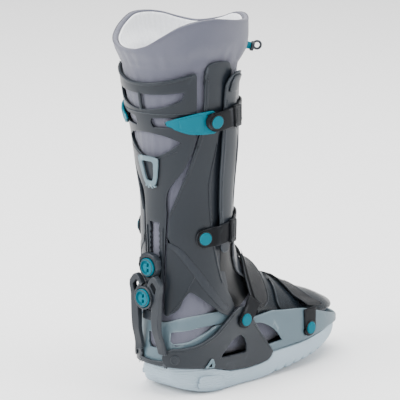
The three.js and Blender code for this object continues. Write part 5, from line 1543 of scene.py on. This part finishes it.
def make_small_parts():
    inner = SHELL + STACK_FIT + FRAME_WALL + FIT
    where = seat(wall_point, 0.078, 0.585, inner, (0.004, 0.02))
    disc = [(0, 0), (PIN_RADIUS, 0), (PIN_RADIUS, 1.2), (PIN_RADIUS - 1.6, 1.2), (PIN_RADIUS - 2, 0.8),
            (0, 0.8)]
    pin = lathe("frame_pin_right", disc, where, "frame", ("pivot_pin_right",))
    mirrored(pin, "frame", "pivot_pin_left")
    hook = [(0.168, 0.42), (0.202, 0.4), (0.207, 0.45), (0.2, 0.54), (0.194, 0.54)]
    eye = [(0.179, 0.43), (0.195, 0.42), (0.196, 0.49)]
    latch = laid("latch_right", ON_WALL, hook, "key", inner, inner + 1.8, nodes=("sole_latch_right",),
                 holes=(eye,), edge=0.4, step=(4, 5), round_by=1.6, hole_round=0.8)
    mirrored(latch, "key", "sole_latch_left")
    outer = flow([(0, 0.561), (-11.5, 0.558), (-14, 0.548), (-11, 0.5), (-8, 0.474), (-6, 0.467)])
    shape = outer + [(-8, 0.462), (-6.5, 0.459), (-3, 0.466), (-4, 0.457), (-2.4, 0.455), (0, 0.464),
                     (2.4, 0.455), (4, 0.457), (3, 0.466), (6.5, 0.459),
                     (8, 0.462)] + mirror(outer)[::-1][:-1]
    hole = [(-8.4, 0.545), (8.4, 0.545), (6.5, 0.5), (4.2, 0.48), (-4.2, 0.48), (-6.5, 0.5)]
    laid("key_ring", ON_LEG, shape, "key", STACK_FIT, STACK_FIT + KEY_WALL, nodes=("adjuster_key",),
         holes=(hole,), edge=0.6, step=(3, 5), round_by=4.5, hole_round=3.5)
    where = seat(leg_point, 142, 0.885, FIT)
    stem = [(0, 0), (VALVE_RADIUS, 0), (VALVE_RADIUS, VALVE_LENGTH * 0.3),
            (VALVE_RADIUS * 0.8, VALVE_LENGTH * 0.4), (VALVE_RADIUS * 0.8, VALVE_LENGTH), (0, VALVE_LENGTH)]
    lathe("valve_body", stem, where, "teal", ("valve_stem",))
    low = VALVE_LENGTH + FIT
    cap = [(0, low), (VALVE_RADIUS + 0.6, low), (VALVE_RADIUS + 0.6, low + 3.4), (0, low + 3.4)]
    lathe("valve_lid", cap, where, "frame", ("valve_cap",))

    def course(u, v):
        a = 2 * math.pi * u
        b = 2 * math.pi * v
        reach = LOOP_RADIUS + LOOP_WIRE * np.cos(b)
        height = low + 3.4 + LOOP_RADIUS - 1 + reach * np.sin(a)
        points = np.stack([LOOP_WIRE * np.sin(b), 2.6 + reach * np.cos(a), height], axis=1)
        return seated(points, where), np.stack([a * 4, b * 2], axis=1)

    draped("valve_loop", 36, 14, course, "frame")


make_liner()
make_foot_shell()
make_sole()
make_ankle_frame()
make_calf_shell()
make_side_shells()
make_gap_shade_sheets()
make_front_shell()
make_levers()
make_tabs()
make_rivets()
make_straps()
make_foot_covers()
make_adjuster()
make_small_parts()


# Camera, floor and light
AZIMUTH = math.radians(-47)
ELEVATION = math.radians(13.5)
DISTANCE = 3.0
TARGET = Vector(in_frame([0, 0, 211]))
FOCAL = 2650 / 400
SENSOR = 36
FLOOR_SIZE = 14
# name | place in metres | power | size
LIGHTS = (
    ("left_softbox", (-2.6, 0.9, 1.7), 125, 2.0),
    ("right_softbox", (0.6, -2.6, 1.5), 48, 1.6),
    ("top_softbox", (0.2, 0.3, 3.2), 230, 3.4),
)
LIT_PLACE = Vector((0, 0, 0.2))
AIR_STRENGTH = 0.85


def facing(direction):
    return direction.to_track_quat("-Z", "Y").to_euler()


level_sight = math.cos(ELEVATION)
sight = Vector((-math.sin(AZIMUTH) * level_sight, math.cos(AZIMUTH) * level_sight, -math.sin(ELEVATION)))
bpy.ops.object.camera_add(location=TARGET - DISTANCE * sight, rotation=facing(sight))
camera = bpy.context.object
camera.data.sensor_width = SENSOR
camera.data.lens = SENSOR * FOCAL
camera.data.shift_x = 0.03
camera.data.shift_y = 0.0125
bpy.context.scene.camera = camera

bpy.ops.mesh.primitive_plane_add(size=FLOOR_SIZE, location=(0, 0, 0))
floor = bpy.context.object
floor.name = "studio_floor"
paper = Finish("studio_paper")
paper.set(colour=tone(250, 250, 250), rough=0.9, level=0.1)
floor.data.materials.append(paper.material)

for name, place, power, size in LIGHTS:
    bpy.ops.object.light_add(type="AREA", location=place)
    light = bpy.context.object
    light.name = name
    light.data.energy = power
    light.data.size = size
    light.rotation_euler = facing(LIT_PLACE - Vector(place))
world = bpy.data.worlds.new("studio_air")
world.use_nodes = True
air = world.node_tree.nodes["Background"]
air.inputs["Color"].default_value = (1, 1, 1, 1)
air.inputs["Strength"].default_value = AIR_STRENGTH
bpy.context.scene.world = world
